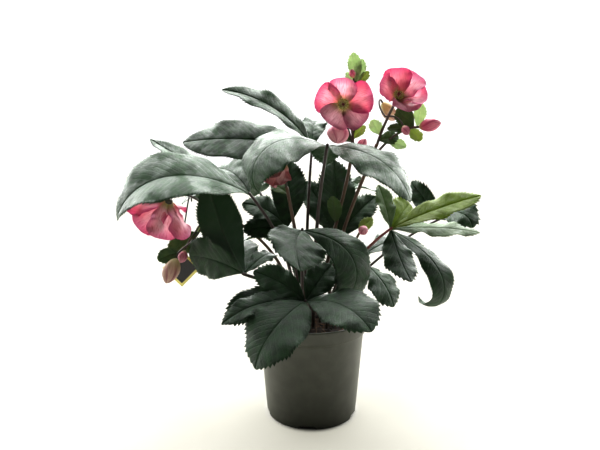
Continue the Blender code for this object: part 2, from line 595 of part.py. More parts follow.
def finish(thing):
    """Triangles only, the largest body kept, smooth where it is round, and its material."""
    mesh = bmesh.new()
    mesh.from_mesh(thing.data)
    bmesh.ops.remove_doubles(mesh, verts=mesh.verts, dist=1e-7)
    bmesh.ops.triangulate(mesh, faces=mesh.faces)
    islands, seen = [], set()
    for vert in mesh.verts:
        if vert in seen:
            continue
        island, queue = set(), [vert]
        while queue:
            here = queue.pop()
            if here not in island:
                island.add(here)
                queue += [edge.other_vert(here) for edge in here.link_edges]
        seen |= island
        islands.append(island)
    keep = max(islands, key=len)
    bmesh.ops.delete(mesh, geom=[v for v in mesh.verts if v not in keep])
    for face in mesh.faces:
        face.smooth = thing.name.startswith(SMOOTH)
    for edge in mesh.edges:
        edge.smooth = len(edge.link_faces) == 2 and edge.calc_face_angle(0) < math.radians(SMOOTH_ANGLE)
    mesh.to_mesh(thing.data)
    mesh.free()
    thing.data.materials.clear()
    thing.data.materials.append(material_for(thing.name))


for old in list(bpy.data.objects):
    bpy.data.objects.remove(old)

for name, bodies in NODES.items():
    if name in CUTS:
        thing = joined(name, bodies[0], CUTS[name], "DIFFERENCE")
    else:
        thing = joined(name, bodies[0], bodies[1:], "UNION")
    finish(thing)
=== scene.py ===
import math

import bpy
import numpy as np
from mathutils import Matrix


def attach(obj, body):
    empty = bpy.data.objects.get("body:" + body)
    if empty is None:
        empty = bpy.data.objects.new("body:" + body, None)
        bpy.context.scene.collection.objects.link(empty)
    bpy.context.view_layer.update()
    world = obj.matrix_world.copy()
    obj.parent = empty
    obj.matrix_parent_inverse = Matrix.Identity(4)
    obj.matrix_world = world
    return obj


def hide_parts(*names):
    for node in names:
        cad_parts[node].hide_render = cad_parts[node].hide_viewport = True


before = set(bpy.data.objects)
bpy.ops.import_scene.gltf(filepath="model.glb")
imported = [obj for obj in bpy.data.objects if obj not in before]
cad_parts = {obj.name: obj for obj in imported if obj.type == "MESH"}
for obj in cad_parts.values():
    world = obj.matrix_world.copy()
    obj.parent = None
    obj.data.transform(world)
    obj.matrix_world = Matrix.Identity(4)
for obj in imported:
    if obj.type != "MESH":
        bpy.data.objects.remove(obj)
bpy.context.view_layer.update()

# The potted hellebore. Lengths are in millimetres until a mesh is made, angles in degrees.
# +Z is up and the front faces -Y. A leaflet row is: length, half width, heading, climb, bend,
# bend power, sweep, roll, fold.
mm = 0.001
scene = bpy.context.scene
tau = math.tau


# Camera and world

camera = bpy.data.objects.new("camera", bpy.data.cameras.new("camera"))
scene.collection.objects.link(camera)
camera.location = (-16 * mm, -666 * mm, 357 * mm)
camera.rotation_euler = (math.radians(90 - 8.25), 0, 0)
camera.data.lens, camera.data.sensor_width = 30, 36
camera.data.clip_start = 0.02
scene.camera = camera
scene.view_settings.view_transform = "Standard"
scene.view_settings.gamma = 0.8             # the contrast of a photo with a blown-out backdrop
scene.view_settings.exposure = 0.3


def node(tree, kind, links=None, **settings):
    made = tree.nodes.new(kind)
    for key, value in settings.items():
        setattr(made, key, value)
    for socket, source in (links or {}).items():
        if isinstance(source, bpy.types.NodeSocket):
            tree.links.new(source, made.inputs[socket])
        else:
            made.inputs[socket].default_value = source
    return made


def maths(tree, operation, a, b=None, c=None):
    links = {k: v for k, v in enumerate((a, b, c)) if v is not None}
    return node(tree, "ShaderNodeMath", links, operation=operation).outputs[0]


def stepped(tree, value, low, high, start=0.0, end=1.0):
    # A smooth step of value from start at low to end at high
    made = node(tree, "ShaderNodeMapRange", {0: value, 1: low, 2: high, 3: start, 4: end})
    made.interpolation_type = "SMOOTHSTEP"
    return made.outputs[0]


def blended(tree, factor, a, b, mode="MIX"):
    made = node(tree, "ShaderNodeMix", data_type="RGBA", blend_type=mode)
    for socket, source in ((0, factor), (6, a), (7, b)):
        if isinstance(source, bpy.types.NodeSocket):
            tree.links.new(source, made.inputs[socket])
        else:
            made.inputs[socket].default_value = source if socket == 0 else (*source, 1)
    return made.outputs[2]


studio = dict(bright=8.8, dim=0.035, lightFrom=(-0.02, 0.95, 0.30), backdrop=1.1, spread=(0.13, 1.0))
world = bpy.data.worlds.new("studio")
scene.world = world
world.use_nodes = True
tree = world.node_tree
tree.nodes.clear()
direction = node(tree, "ShaderNodeTexCoord").outputs["Generated"]
towards = node(tree, "ShaderNodeVectorMath", {0: direction, 1: studio["lightFrom"]}, operation="DOT_PRODUCT")
light = stepped(tree, towards.outputs["Value"], *studio["spread"], studio["dim"], studio["bright"])
seen = node(tree, "ShaderNodeLightPath").outputs["Is Camera Ray"]
strength = node(tree, "ShaderNodeMix", {0: seen, 2: light, 3: studio["backdrop"]}).outputs[0]
glow = node(tree, "ShaderNodeBackground", {0: (1, 1, 1, 1), 1: strength})
node(tree, "ShaderNodeOutputWorld", {0: glow.outputs[0]})


def areaLight(name, place, aim, size, power, colour=(1, 1, 1)):
    lamp = bpy.data.objects.new(name, bpy.data.lights.new(name, "AREA"))
    scene.collection.objects.link(lamp)
    lamp.data.size, lamp.data.energy, lamp.data.color = size, power, colour
    lamp.location = place
    way = np.array(aim) - np.array(place)
    lamp.rotation_euler = (math.atan2(math.hypot(way[0], way[1]), -way[2]), 0,
                           math.atan2(way[1], way[0]) - math.pi / 2)
    return lamp


areaLight("top", (0.15, 0.7, 1.5), (0, 0, 0.25), 0.9, 12)


# Building surfaces

def startPile():
    return dict(points=[], quads=[], caps=[], uv=[], side=[], tone=[], rim=[], slots=[], capSlots=[], count=0)


def addToPile(pile, points, quads, uv, side, tone, slot, caps=(), rim=0.0):
    base = pile["count"]
    pile["points"].append(points)
    pile["quads"].append(quads + base)
    pile["uv"].append(uv)
    pile["side"].append(side)
    pile["tone"].append(np.full(len(points), tone))
    pile["rim"].append(np.broadcast_to(rim, len(points)))
    pile["slots"].append(np.full(len(quads), slot))
    for cap in caps:
        pile["caps"].append([base + k for k in cap])
        pile["capSlots"].append(slot)
    pile["count"] += len(points)


def makePiece(name, pile, materials, nodes=()):
    # One object from a pile: its points in metres, its map as a UV layer, and its attributes
    points = np.vstack(pile["points"]) * mm
    quads = np.vstack(pile["quads"])
    mesh = bpy.data.meshes.new(name)
    faces = quads.tolist() + pile["caps"]
    mesh.from_pydata(points.tolist(), [], faces)
    corners = np.zeros(len(mesh.loops), int)
    mesh.loops.foreach_get("vertex_index", corners)
    layer = mesh.uv_layers.new(name="map")
    layer.data.foreach_set("uv", np.vstack(pile["uv"])[corners].ravel().astype(np.float32))
    for key in ("side", "tone", "rim"):
        values = np.concatenate(pile[key]).astype(np.float32)
        mesh.attributes.new(key, "FLOAT", "POINT").data.foreach_set("value", values)
    slots = np.concatenate(pile["slots"] + [np.array(pile["capSlots"], int)]).astype(int)
    mesh.polygons.foreach_set("material_index", slots)
    mesh.polygons.foreach_set("use_smooth", np.ones(len(faces), bool))
    for material in materials:
        mesh.materials.append(material)
    mesh.validate()
    piece = bpy.data.objects.new(name, mesh)
    scene.collection.objects.link(piece)
    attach(piece, "root")
    if nodes:
        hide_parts(*nodes)
    return piece


def midribFrame(start, length, heading, climb, bend, power, sweep, t):
    # A blade's midrib, found by adding up its direction: slope = climb + bend * t^power, and
    # the heading turns evenly by sweep. Returns places and the along, across and out directions.
    fine = np.linspace(0, 1, 301)
    slope = np.radians(climb + bend * fine ** power)
    turn = np.radians(heading + sweep * fine)
    along = np.stack([np.cos(slope) * np.cos(turn), np.cos(slope) * np.sin(turn), np.sin(slope)], -1)
    across = np.stack([np.sin(turn), -np.cos(turn), np.zeros_like(fine)], -1)
    out = np.cross(across, along)
    steps = (along[1:] + along[:-1]) / 2 * length / (len(fine) - 1)
    path = np.vstack([np.zeros(3), np.cumsum(steps, 0)]) + np.asarray(start, float)
    read = lambda field: np.stack([np.interp(t, fine, field[:, i]) for i in range(3)], -1)
    return read(path), read(across), read(out), read(along)


def shellFromSheet(pile, top, bottom, uv, tone, slot, rim=0.0):
    # A closed shell from two grids of points: both faces, and the wall between their borders
    rows, columns = top.shape[:2]
    index = np.arange(rows * columns).reshape(rows, columns)
    face = np.stack([index[:-1, :-1], index[:-1, 1:], index[1:, 1:], index[1:, :-1]], -1).reshape(-1, 4)
    under = face[:, ::-1] + rows * columns
    border = np.concatenate([index[0], index[1:, -1], index[-1, -2::-1], index[-2:0:-1, 0]])
    after = np.roll(border, -1)
    wall = np.stack([after, border, border + rows * columns, after + rows * columns], -1)
    points = np.vstack([top.reshape(-1, 3), bottom.reshape(-1, 3)])
    side = np.repeat([0.0, 1.0], rows * columns)
    rim = np.tile(np.broadcast_to(rim, (rows, columns)).ravel(), 2)
    addToPile(pile, points, np.vstack([face, under, wall]), np.vstack([uv.reshape(-1, 2)] * 2), side, tone, slot,
              rim=rim)


leafStyle = dict(shape=(1.15, 0.88), arch=0.12, tooth=4.1, depth=2.5, thick=0.6, wave=2.1, waves=2.6,
                 dent=0.4, puff=0.26, rib=0.5, spacing=9.5, rimWidth=0.3,
                 columns=(0, 0.03, 0.07, 0.14, 0.23, 0.33, 0.43, 0.53, 0.63, 0.73, 0.83, 0.92, 1))
bractStyle = dict(leafStyle, tooth=4.0, depth=1.3, thick=0.5, wave=1.0, dent=0.4, puff=0.15,
                  rib=0.25, spacing=6, columns=(0, 0.08, 0.3, 0.6, 0.9, 1))
petalStyle = dict(leafStyle, shape=(0.85, 0.38), arch=-0.2, tooth=3.4, depth=0.6, thick=0.45, wave=3.2, waves=1.7,
                  dent=1.3, puff=0.0, rib=0.4, spacing=6, rimWidth=0.45,
                  columns=(0, 0.06, 0.15, 0.25, 0.36, 0.48, 0.6, 0.72, 0.84, 0.94, 1))
toothAt = (0, 0.28, 0.55, 0.8, 0.92)        # rows along a tooth, as shares of it
toothOut = (0, 0.3, 0.62, 1.0, 0.3)         # and how far each stands out


def addBlade(pile, start, row, style, seed, slot=0, frameAxes=None, tone=None):
    # A leaflet, bract or sepal. Its half width goes as t^p * (1-t)^q. Each half lifts by the
    # fold and droops by arch * v^2; its edge waves by a sum of two sines; the blade is puffed up
    # between side veins that leave the midrib at a slant, and dented by a sum of seven plane
    # waves; teeth are saw steps that lean forward. rim is 1 in the edge and falls to 0 inwards.
    rng = np.random.default_rng(seed)
    length, halfWidth, heading, climb, bend, power, sweep, roll, fold = row
    teeth = max(5, round(length / style["tooth"]))
    t = np.append(np.add.outer(np.arange(teeth), toothAt).ravel(), teeth) / teeth
    p, q = style["shape"]
    peak = p / (p + q)
    width = halfWidth * (t ** p * (1 - t) ** q) / (peak ** p * (1 - peak) ** q)
    width = np.maximum(width, 0.3)[:, None]
    half = np.array(style["columns"], float)
    v = np.concatenate([-half[:0:-1], half])[None, :]
    saw = np.append(np.tile(toothOut, teeth), 0) * style["depth"]
    saw = saw * np.interp(t, [0, 0.1, 0.16, 0.93, 1], [0, 0, 1, 1, 0])
    saw *= rng.uniform(0.65, 1.2, teeth + 1)[np.minimum(np.arange(len(t)) // len(toothAt), teeth)]
    edge = (np.abs(v) == 1) * np.sign(v)
    place, across, out, along = midribFrame(start, length, heading, climb, bend, power, sweep, t)
    angle = math.radians(roll)
    sideWay = (across * math.cos(angle) + out * math.sin(angle))[:, None]
    upWay = (out * math.cos(angle) - across * math.sin(angle))[:, None]
    place, along = place[:, None], along[:, None]
    tt = t[:, None]
    phase = rng.uniform(0, tau, 4)
    side = v > 0
    ripple = (np.sin(style["waves"] * tau * tt + np.where(side, phase[0], phase[1]))
              + 0.5 * np.sin(1.9 * style["waves"] * tau * tt + np.where(side, phase[2], phase[3])))
    ripple = ripple * style["wave"] * np.abs(v) ** 2.2 * np.minimum(1, width / 12) * np.sin(math.pi * tt) ** 0.5
    fromRib = np.abs(v) * width
    vein = (tt * length - 0.8 * fromRib - 0.006 * fromRib ** 2) / style["spacing"]
    puff = style["puff"] * np.abs(np.sin(math.pi * vein)) ** 0.6 * np.interp(np.abs(v), [0.02, 0.25, 0.8, 1], [0, 1, 1, 0])
    puff = puff * np.minimum(1, width / 14)
    dents = 0
    for way in rng.uniform(0, math.pi, 7):
        size = rng.uniform(13, 34)
        dents = dents + np.sin(tau / size * (tt * length * math.cos(way) + v * width * math.sin(way))
                               + rng.uniform(0, tau))
    dents = dents * style["dent"] / 4 * np.minimum(1, width / 16) * np.minimum(1, fromRib / 5)
    groove = style["rib"] * np.exp(-(fromRib / 1.1) ** 2)
    lift = width * (np.abs(v) * math.sin(math.radians(fold)) - style["arch"] * v * v)
    lift = lift + ripple + puff + dents - groove
    reach = (width * math.cos(math.radians(fold))) * v + edge * saw[:, None]
    top = place + sideWay * reach[..., None] + upWay * lift[..., None] + along * (np.abs(edge) * saw[:, None] * 0.9)[..., None]
    normal = np.cross(np.gradient(top, axis=1), np.gradient(top, axis=0))
    normal /= np.linalg.norm(normal, axis=-1, keepdims=True) + 1e-12
    ridge = 2.2 * style["rib"] * np.exp(-(fromRib / 0.9) ** 2) * (1 - tt) ** 0.6
    thick = style["thick"] * (1 - 0.45 * np.abs(v) ** 3)
    bottom = top - normal * (thick + ridge)[..., None]
    uv = np.stack([np.broadcast_to(tt * length, reach.shape), reach], -1) * 0.1
    if frameAxes is not None:
        top, bottom = (g @ frameAxes[0] + frameAxes[1] for g in (top, bottom))
    rim = np.clip(1 - np.minimum(1 - np.abs(v), (1 - tt) * 1.6) / style["rimWidth"], 0, 1)
    shellFromSheet(pile, top, bottom, uv, rng.uniform() if tone is None else tone, slot, rim)


def bezier(points, t):
    a, b, c, d = (np.asarray(p, float) for p in points)
    t = np.asarray(t, float)[:, None]
    return (1 - t) ** 3 * a + 3 * t * (1 - t) ** 2 * b + 3 * t * t * (1 - t) * c + t ** 3 * d


def addRings(pile, rings, uv, tone, slot, side=0.0, rim=0.0):
    # A closed skin over rings of points, each ring level with the next, with both ends filled
    rows, columns = rings.shape[:2]
    index = np.arange(rows * columns).reshape(rows, columns)
    after = np.roll(index, -1, axis=1)
    quads = np.stack([index[:-1], after[:-1], after[1:], index[1:]], -1).reshape(-1, 4)
    caps = (index[0, ::-1].tolist(), index[-1].tolist())
    rim = np.broadcast_to(rim, (rows, columns)).ravel()
    addToPile(pile, rings.reshape(-1, 3), quads, uv.reshape(-1, 2), np.full(rows * columns, side), tone, slot, caps,
              rim)


def addStalk(pile, path, radius, tone, slot, sides=12, groove=0.0):
    # A round stalk: a ring square to the path at each of its points, which closes to a small
    # dome at both ends. groove flattens one side as on a leaf's stalk.
    path = np.asarray(path, float)
    radius = np.broadcast_to(np.asarray(radius, float), len(path)).copy()
    tangent = np.gradient(path, axis=0)
    tangent /= np.linalg.norm(tangent, axis=1)[:, None]
    ends = radius[[0, -1]]
    path = np.vstack([path[0] - tangent[0] * ends[0] * 0.5, path, path[-1] + tangent[-1] * ends[1] * 0.5])
    tangent = np.vstack([tangent[:1], tangent, tangent[-1:]])
    radius = np.concatenate([[ends[0] * 0.4], radius, [ends[1] * 0.4]])
    first = np.cross(tangent[0], (0.31, 0.77, 0.55))
    turn = np.arange(sides) / sides * tau
    shape = 1 - groove * np.exp(-((turn - math.pi) / 0.7) ** 2)
    rings = []
    for centre, forward, r in zip(path, tangent, radius):
        first = first - forward * (first @ forward)
        first /= np.linalg.norm(first)
        second = np.cross(forward, first)
        rings.append(centre + (r * shape * np.cos(turn))[:, None] * first + (r * shape * np.sin(turn))[:, None] * second)
    rings = np.array(rings)
    run = np.concatenate([[0], np.cumsum(np.linalg.norm(np.diff(path, axis=0), axis=1))])
    uv = np.stack(np.broadcast_arrays(run[:, None] * 0.1, (turn / tau)[None, :]), -1)
    addRings(pile, rings, uv, tone, slot)


def axesOf(face):
    out = np.array(face, float) / np.linalg.norm(face)
    first = np.cross((0.1, 0.2, 1.0), out)
    first /= np.linalg.norm(first)
    return np.array([first, np.cross(out, first), out])


def turnedRings(profile, sides, radiusOf=None, heightOf=None):
    # Rings round +Z from (radius, height) rows. radiusOf and heightOf change them by turn and row.
    profile = np.asarray(profile, float)
    turn = np.arange(sides) / sides * tau
    r = profile[:, :1] * np.ones(sides)
    z = profile[:, 1:] * np.ones(sides)
    rowShare = np.linspace(0, 1, len(profile))[:, None]
    if radiusOf is not None:
        r = r * radiusOf(turn[None, :], rowShare)
    if heightOf is not None:
        z = z + heightOf(turn[None, :], rowShare, r)
    rings = np.stack([r * np.cos(turn), r * np.sin(turn), z], -1)
    uv = np.stack(np.broadcast_arrays((turn / tau)[None, :], rowShare), -1)
    return rings, uv


def smoothProfile(points, count):
    # A profile of rounded corners: points read along a Catmull-Rom curve, evenly by its run
    points = np.asarray(points, float)
    padded = np.vstack([2 * points[0] - points[1], points, 2 * points[-1] - points[-2]])
    found = []
    for i in range(1, len(points)):
        a, b, c, d = padded[i - 1:i + 3]
        t = np.linspace(0, 1, 12, endpoint=i == len(points) - 1)[:, None]
        found.append(0.5 * (2 * b + (c - a) * t + (2 * a - 5 * b + 4 * c - d) * t ** 2
                            + (3 * b - a - 3 * c + d) * t ** 3))
    found = np.vstack(found)
    run = np.concatenate([[0], np.cumsum(np.linalg.norm(np.diff(found, axis=0), axis=1))])
    want = np.linspace(0, run[-1], count)
    return np.stack([np.interp(want, run, found[:, i]) for i in range(2)], -1)


# Materials

def newGroup(name, inputs, outputs):
    group = bpy.data.node_groups.new(name, "ShaderNodeTree")
    for label, kind in inputs:
        group.interface.new_socket(label, in_out="INPUT", socket_type=kind)
    for label, kind in outputs:
        group.interface.new_socket(label, in_out="OUTPUT", socket_type=kind)
    return group, group.nodes.new("NodeGroupInput").outputs, group.nodes.new("NodeGroupOutput")


def veinsGroup():
    # Leaf veins from the map: u runs along the midrib and v across it, in centimetres. Side
    # veins are even lines that leave the midrib at a slant; a fine net fills the blade between.
    group, given, result = newGroup("leafVeins", [("Map", "NodeSocketVector"), ("Spacing", "NodeSocketFloat")],
                                    [("Veins", "NodeSocketFloat"), ("Net", "NodeSocketFloat"),
                                     ("Mottle", "NodeSocketFloat"), ("Normal", "NodeSocketVector")])
    split = node(group, "ShaderNodeSeparateXYZ", {0: given["Map"]})
    across = maths(group, "ABSOLUTE", split.outputs["Y"])
    bent = maths(group, "MULTIPLY", maths(group, "MULTIPLY", across, across), 0.06)
    slant = maths(group, "SUBTRACT", maths(group, "SUBTRACT", split.outputs["X"],
                                           maths(group, "MULTIPLY", across, 0.8)), bent)
    part = maths(group, "FRACT", maths(group, "ADD", maths(group, "DIVIDE", slant, given["Spacing"]), 0.5))
    fromVein = maths(group, "ABSOLUTE", maths(group, "SUBTRACT", part, 0.5))
    sideVein = stepped(group, fromVein, 0.01, 0.075, 0.8, 0.0)
    midrib = stepped(group, across, 0.02, 0.09, 1.0, 0.0)
    veins = maths(group, "MAXIMUM", sideVein, midrib)
    cells = node(group, "ShaderNodeTexVoronoi", {"Vector": given["Map"], "Scale": 5.5}, feature="DISTANCE_TO_EDGE")
    net = stepped(group, cells.outputs["Distance"], 0.0, 0.09, 1.0, 0.0)
    cloud = node(group, "ShaderNodeTexNoise", {"Vector": given["Map"], "Scale": 0.9, "Detail": 3.0})
    grain = node(group, "ShaderNodeTexNoise", {"Vector": given["Map"], "Scale": 14.0, "Detail": 4.0})
    height = maths(group, "SUBTRACT", maths(group, "MULTIPLY", grain.outputs[0], 0.8),
                   maths(group, "ADD", maths(group, "MULTIPLY", veins, 0.7), maths(group, "MULTIPLY", net, 0.3)))
    bump = node(group, "ShaderNodeBump", {"Strength": 0.6, "Distance": 0.0011, "Height": height})
    for label, source in (("Veins", veins), ("Net", net), ("Mottle", cloud.outputs[0]), ("Normal", bump.outputs[0])):
        group.links.new(source, result.inputs[label])
    return group


leafVeins = veinsGroup()


def newMaterial(name):
    material = bpy.data.materials.new(name)
    material.use_nodes = True
    material.node_tree.nodes.clear()
    return material, material.node_tree


def finishMaterial(tree, surface):
    node(tree, "ShaderNodeOutputMaterial", {0: surface})


def attribute(tree, name):
    return node(tree, "ShaderNodeAttribute", attribute_name=name).outputs["Fac"]


def uvMap(tree):
    return node(tree, "ShaderNodeUVMap", uv_map="map").outputs[0]


def thinShader(tree, colour, through, share, roughness, normal, gloss=0.5, bloomOver=0.0):
    # Light reflected by a Principled surface, mixed with light that passes through the blade.
    # bloomOver is the strength of the pale waxy sheen.
    front = node(tree, "ShaderNodeBsdfPrincipled", {
        "Base Color": colour, "Roughness": roughness, "Specular IOR Level": gloss,
        "Sheen Weight": bloomOver, "Sheen Roughness": 0.35, "Sheen Tint": (0.86, 1.0, 0.87, 1), "Specular Tint": (0.90, 1.0, 0.91, 1)})
    back = node(tree, "ShaderNodeBsdfTranslucent", {"Color": through})
    if normal is not None:
        tree.links.new(normal, front.inputs["Normal"])
        tree.links.new(normal, back.inputs["Normal"])
    return node(tree, "ShaderNodeMixShader", {0: share, 1: front.outputs[0], 2: back.outputs[0]}).outputs[0]


def leafMaterial(name, top, topPale, under, veinTop, veinUnder, through, share=0.22, roughness=0.42,
                 spacing=0.95, gloss=0.4, wax=0.15, worn=1.0):
    # A leaf's upper face is glossy with sunk veins; its under face is paler and dull, with the
    # veins standing out. side is 0 above and 1 below, and tone varies from leaflet to leaflet.
    # worn is how much of the gloss and wax is left in patches a few centimetres wide.
    material, tree = newMaterial(name)
    veins = node(tree, "ShaderNodeGroup", node_tree=leafVeins)
    tree.links.new(uvMap(tree), veins.inputs["Map"])
    veins.inputs["Spacing"].default_value = spacing
    side = attribute(tree, "side")
    mottle = stepped(tree, veins.outputs["Mottle"], 0.35, 0.7)
    upper = blended(tree, mottle, top, topPale)
    upper = blended(tree, maths(tree, "MULTIPLY", attribute(tree, "tone"), 0.35), upper, topPale)
    upper = blended(tree, maths(tree, "MULTIPLY", veins.outputs["Net"], 0.18), upper, veinTop)
    upper = blended(tree, maths(tree, "MULTIPLY", veins.outputs["Veins"], 0.45), upper, veinTop)
    lower = blended(tree, maths(tree, "MULTIPLY", mottle, 0.4), under, topPale)
    lower = blended(tree, maths(tree, "MULTIPLY", veins.outputs["Veins"], 0.55), lower, veinUnder)
    colour = blended(tree, side, upper, lower)
    rough = maths(tree, "ADD", maths(tree, "MULTIPLY", side, 0.18),
                  maths(tree, "ADD", maths(tree, "MULTIPLY", veins.outputs["Mottle"], 0.3), roughness - 0.15))
    apart = maths(tree, "MULTIPLY", attribute(tree, "tone"), 37.0)
    place = node(tree, "ShaderNodeVectorMath", {0: uvMap(tree), 1: apart}, operation="ADD").outputs[0]
    patches = node(tree, "ShaderNodeTexNoise", {"Vector": place, "Scale": 0.36, "Detail": 4.0})
    left = stepped(tree, patches.outputs[0], 0.40, 0.60, worn, 1.0)
    finishMaterial(tree, thinShader(tree, colour, (*through, 1), share, rough, veins.outputs["Normal"],
                                    gloss=maths(tree, "MULTIPLY", left, gloss),
                                    bloomOver=maths(tree, "MULTIPLY", left, wax)))
    return material


leafWaxy = leafMaterial("leafWaxy", (0.005, 0.026, 0.005), (0.020, 0.074, 0.018), (0.026, 0.074, 0.022),
                        (0.036, 0.090, 0.030), (0.045, 0.056, 0.028), (0.06, 0.14, 0.02), share=0.04, wax=0.5,
                        gloss=0.9, roughness=0.40, worn=0.2)
# the darker, duller copy for the low leaves: its darker colours and weaker gloss are partly older leaves with less wax
# and partly painted shade for the shade low in the plant
leafLowShaded = leafMaterial("leafLowShaded", (0.004, 0.020, 0.004), (0.015, 0.060, 0.014), (0.020, 0.060, 0.018),
                        (0.030, 0.080, 0.026), (0.036, 0.050, 0.024), (0.05, 0.12, 0.02), share=0.03, wax=0.12,
                        gloss=0.5, roughness=0.42)
leafYoung = leafMaterial("leafYoung", (0.130, 0.180, 0.014), (0.240, 0.310, 0.060), (0.200, 0.260, 0.080),
                         (0.260, 0.300, 0.080), (0.200, 0.080, 0.050), (0.45, 0.60, 0.06), share=0.3)
leafSage = leafMaterial("leafSage", (0.120, 0.190, 0.080), (0.220, 0.300, 0.170), (0.180, 0.240, 0.120),
                        (0.260, 0.320, 0.190), (0.200, 0.150, 0.090), (0.34, 0.50, 0.22), share=0.2, wax=0.5)
# a paler copy for the top bracts: partly their own pale green and partly painted backlight for the light that shines
# through them
bractPaleBacklit = leafMaterial("bractPaleBacklit", (0.260, 0.330, 0.190), (0.420, 0.500, 0.340), (0.330, 0.400, 0.250),
                         (0.440, 0.520, 0.360), (0.330, 0.300, 0.210), (0.72, 0.86, 0.52), share=0.42,
                         spacing=0.6)
bractDark = leafMaterial("bractDark", (0.030, 0.070, 0.022), (0.080, 0.130, 0.040), (0.070, 0.120, 0.040),
                         (0.120, 0.180, 0.070), (0.100, 0.110, 0.060), (0.25, 0.40, 0.08), share=0.15,
                         spacing=0.6)
bractGreen = leafMaterial("bractGreen", (0.130, 0.180, 0.045), (0.280, 0.340, 0.130), (0.210, 0.280, 0.100),
                          (0.300, 0.360, 0.170), (0.240, 0.220, 0.130), (0.58, 0.68, 0.22), share=0.38,
                          spacing=0.6)


def stalkMaterial(name, low, high, speck):
    # A stalk's colour runs from low to high along its map, with long fine streaks
    material, tree = newMaterial(name)
    split = node(tree, "ShaderNodeSeparateXYZ", {0: uvMap(tree)})
    stretched = node(tree, "ShaderNodeMapping", {0: uvMap(tree), 3: (0.6, 14.0, 1.0)})
    streaks = node(tree, "ShaderNodeTexNoise", {"Vector": stretched.outputs[0], "Scale": 3.0, "Detail": 4.0})
    colour = blended(tree, stepped(tree, split.outputs["X"], 2.0, 16.0), low, high)
    colour = blended(tree, stepped(tree, streaks.outputs[0], 0.5, 0.75), colour, speck)
    bump = node(tree, "ShaderNodeBump", {"Strength": 0.3, "Distance": 0.0004, "Height": streaks.outputs[0]})
    surface = node(tree, "ShaderNodeBsdfPrincipled", {"Base Color": colour, "Roughness": 0.42, "Normal": bump.outputs[0]})
    finishMaterial(tree, surface.outputs[0])
    return material


leafStalk = stalkMaterial("leafStalk", (0.060, 0.040, 0.030), (0.045, 0.035, 0.028), (0.090, 0.030, 0.030))
youngStalk = stalkMaterial("youngStalk", (0.120, 0.080, 0.040), (0.210, 0.055, 0.050), (0.250, 0.090, 0.060))
flowerStalk = stalkMaterial("flowerStalk", (0.050, 0.044, 0.026), (0.120, 0.075, 0.045), (0.120, 0.045, 0.040))


def petalMaterial(name, deep, pale, flush, edge, through, share=0.42, flushTo=1.5):
    # Sepals: deep rose in the edge and at the base, paler between, fine branching lines from the
    # base, and a green flush where they join. The map runs along and across in centimetres, and
    # rim is 1 in the edge and 0 one part in from it.
    material, tree = newMaterial(name)
    split = node(tree, "ShaderNodeSeparateXYZ", {0: uvMap(tree)})
    across = maths(tree, "ABSOLUTE", split.outputs["Y"])
    stretched = node(tree, "ShaderNodeMapping", {0: uvMap(tree), 3: (0.5, 5.0, 1.0)})
    lines = node(tree, "ShaderNodeTexNoise", {"Vector": stretched.outputs[0], "Scale": 2.4, "Detail": 4.0})
    cloud = node(tree, "ShaderNodeTexNoise", {"Vector": uvMap(tree), "Scale": 1.1, "Detail": 3.0})
    middle = maths(tree, "MULTIPLY", stepped(tree, across, 0.2, 1.5, 1.0, 0.0),
                   stepped(tree, split.outputs["X"], 0.8, 2.6))
    tone = maths(tree, "MULTIPLY", attribute(tree, "tone"), 0.6)
    paleness = maths(tree, "ADD", maths(tree, "MULTIPLY", middle, 0.4),
                     maths(tree, "ADD", tone, maths(tree, "MULTIPLY", cloud.outputs[0], 0.25)))
    colour = blended(tree, maths(tree, "MINIMUM", paleness, 1.0), deep, pale)
    colour = blended(tree, stepped(tree, lines.outputs[0], 0.5, 0.66, 0.0, 0.7), colour, deep)
    rim = maths(tree, "MULTIPLY", attribute(tree, "rim"), 0.6)
    colour = blended(tree, rim, colour, edge)
    base = stepped(tree, split.outputs["X"], flushTo / 5, flushTo, 0.9, 0.0)
    colour = blended(tree, base, colour, flush)
    light = blended(tree, maths(tree, "MULTIPLY", paleness, 0.7), through, (1.0, 0.86, 0.88))
    light = blended(tree, rim, light, edge)
    light = blended(tree, base, light, (0.75, 0.62, 0.30))
    light = blended(tree, stepped(tree, lines.outputs[0], 0.5, 0.7, 0.0, 0.5), light, deep)
    bump = node(tree, "ShaderNodeBump", {"Strength": 0.25, "Distance": 0.0005, "Height": lines.outputs[0]})
    finishMaterial(tree, thinShader(tree, colour, light, share, 0.5, bump.outputs[0], gloss=0.3))
    return material


petalRose = petalMaterial("petalRose", (0.560, 0.100, 0.180), (0.950, 0.740, 0.820), (0.480, 0.420, 0.180),
                          (0.640, 0.080, 0.320), (1.0, 0.38, 0.47), share=0.42)
# a darker copy of the sepal material that lets less light through: painted shade for sepals the light behind does not
# reach
petalShaded = petalMaterial("petalShaded", (0.420, 0.140, 0.190), (0.740, 0.500, 0.560), (0.400, 0.360, 0.160),
                           (0.520, 0.110, 0.260), (0.82, 0.42, 0.48), share=0.28)
petalBell = petalMaterial("petalBell", (0.380, 0.180, 0.180), (0.620, 0.400, 0.390), (0.300, 0.260, 0.120),
                          (0.300, 0.080, 0.100), (0.80, 0.40, 0.35), share=0.35)
budPink = petalMaterial("budPink", (0.460, 0.080, 0.160), (0.900, 0.600, 0.660), (0.420, 0.420, 0.190),
                        (0.400, 0.050, 0.150), (0.95, 0.42, 0.50), share=0.25, flushTo=0.7)


budGreen = petalMaterial("budGreen", (0.460, 0.150, 0.200), (0.700, 0.560, 0.440), (0.430, 0.440, 0.200),
                         (0.340, 0.060, 0.130), (0.85, 0.58, 0.42), share=0.25, flushTo=2.4)


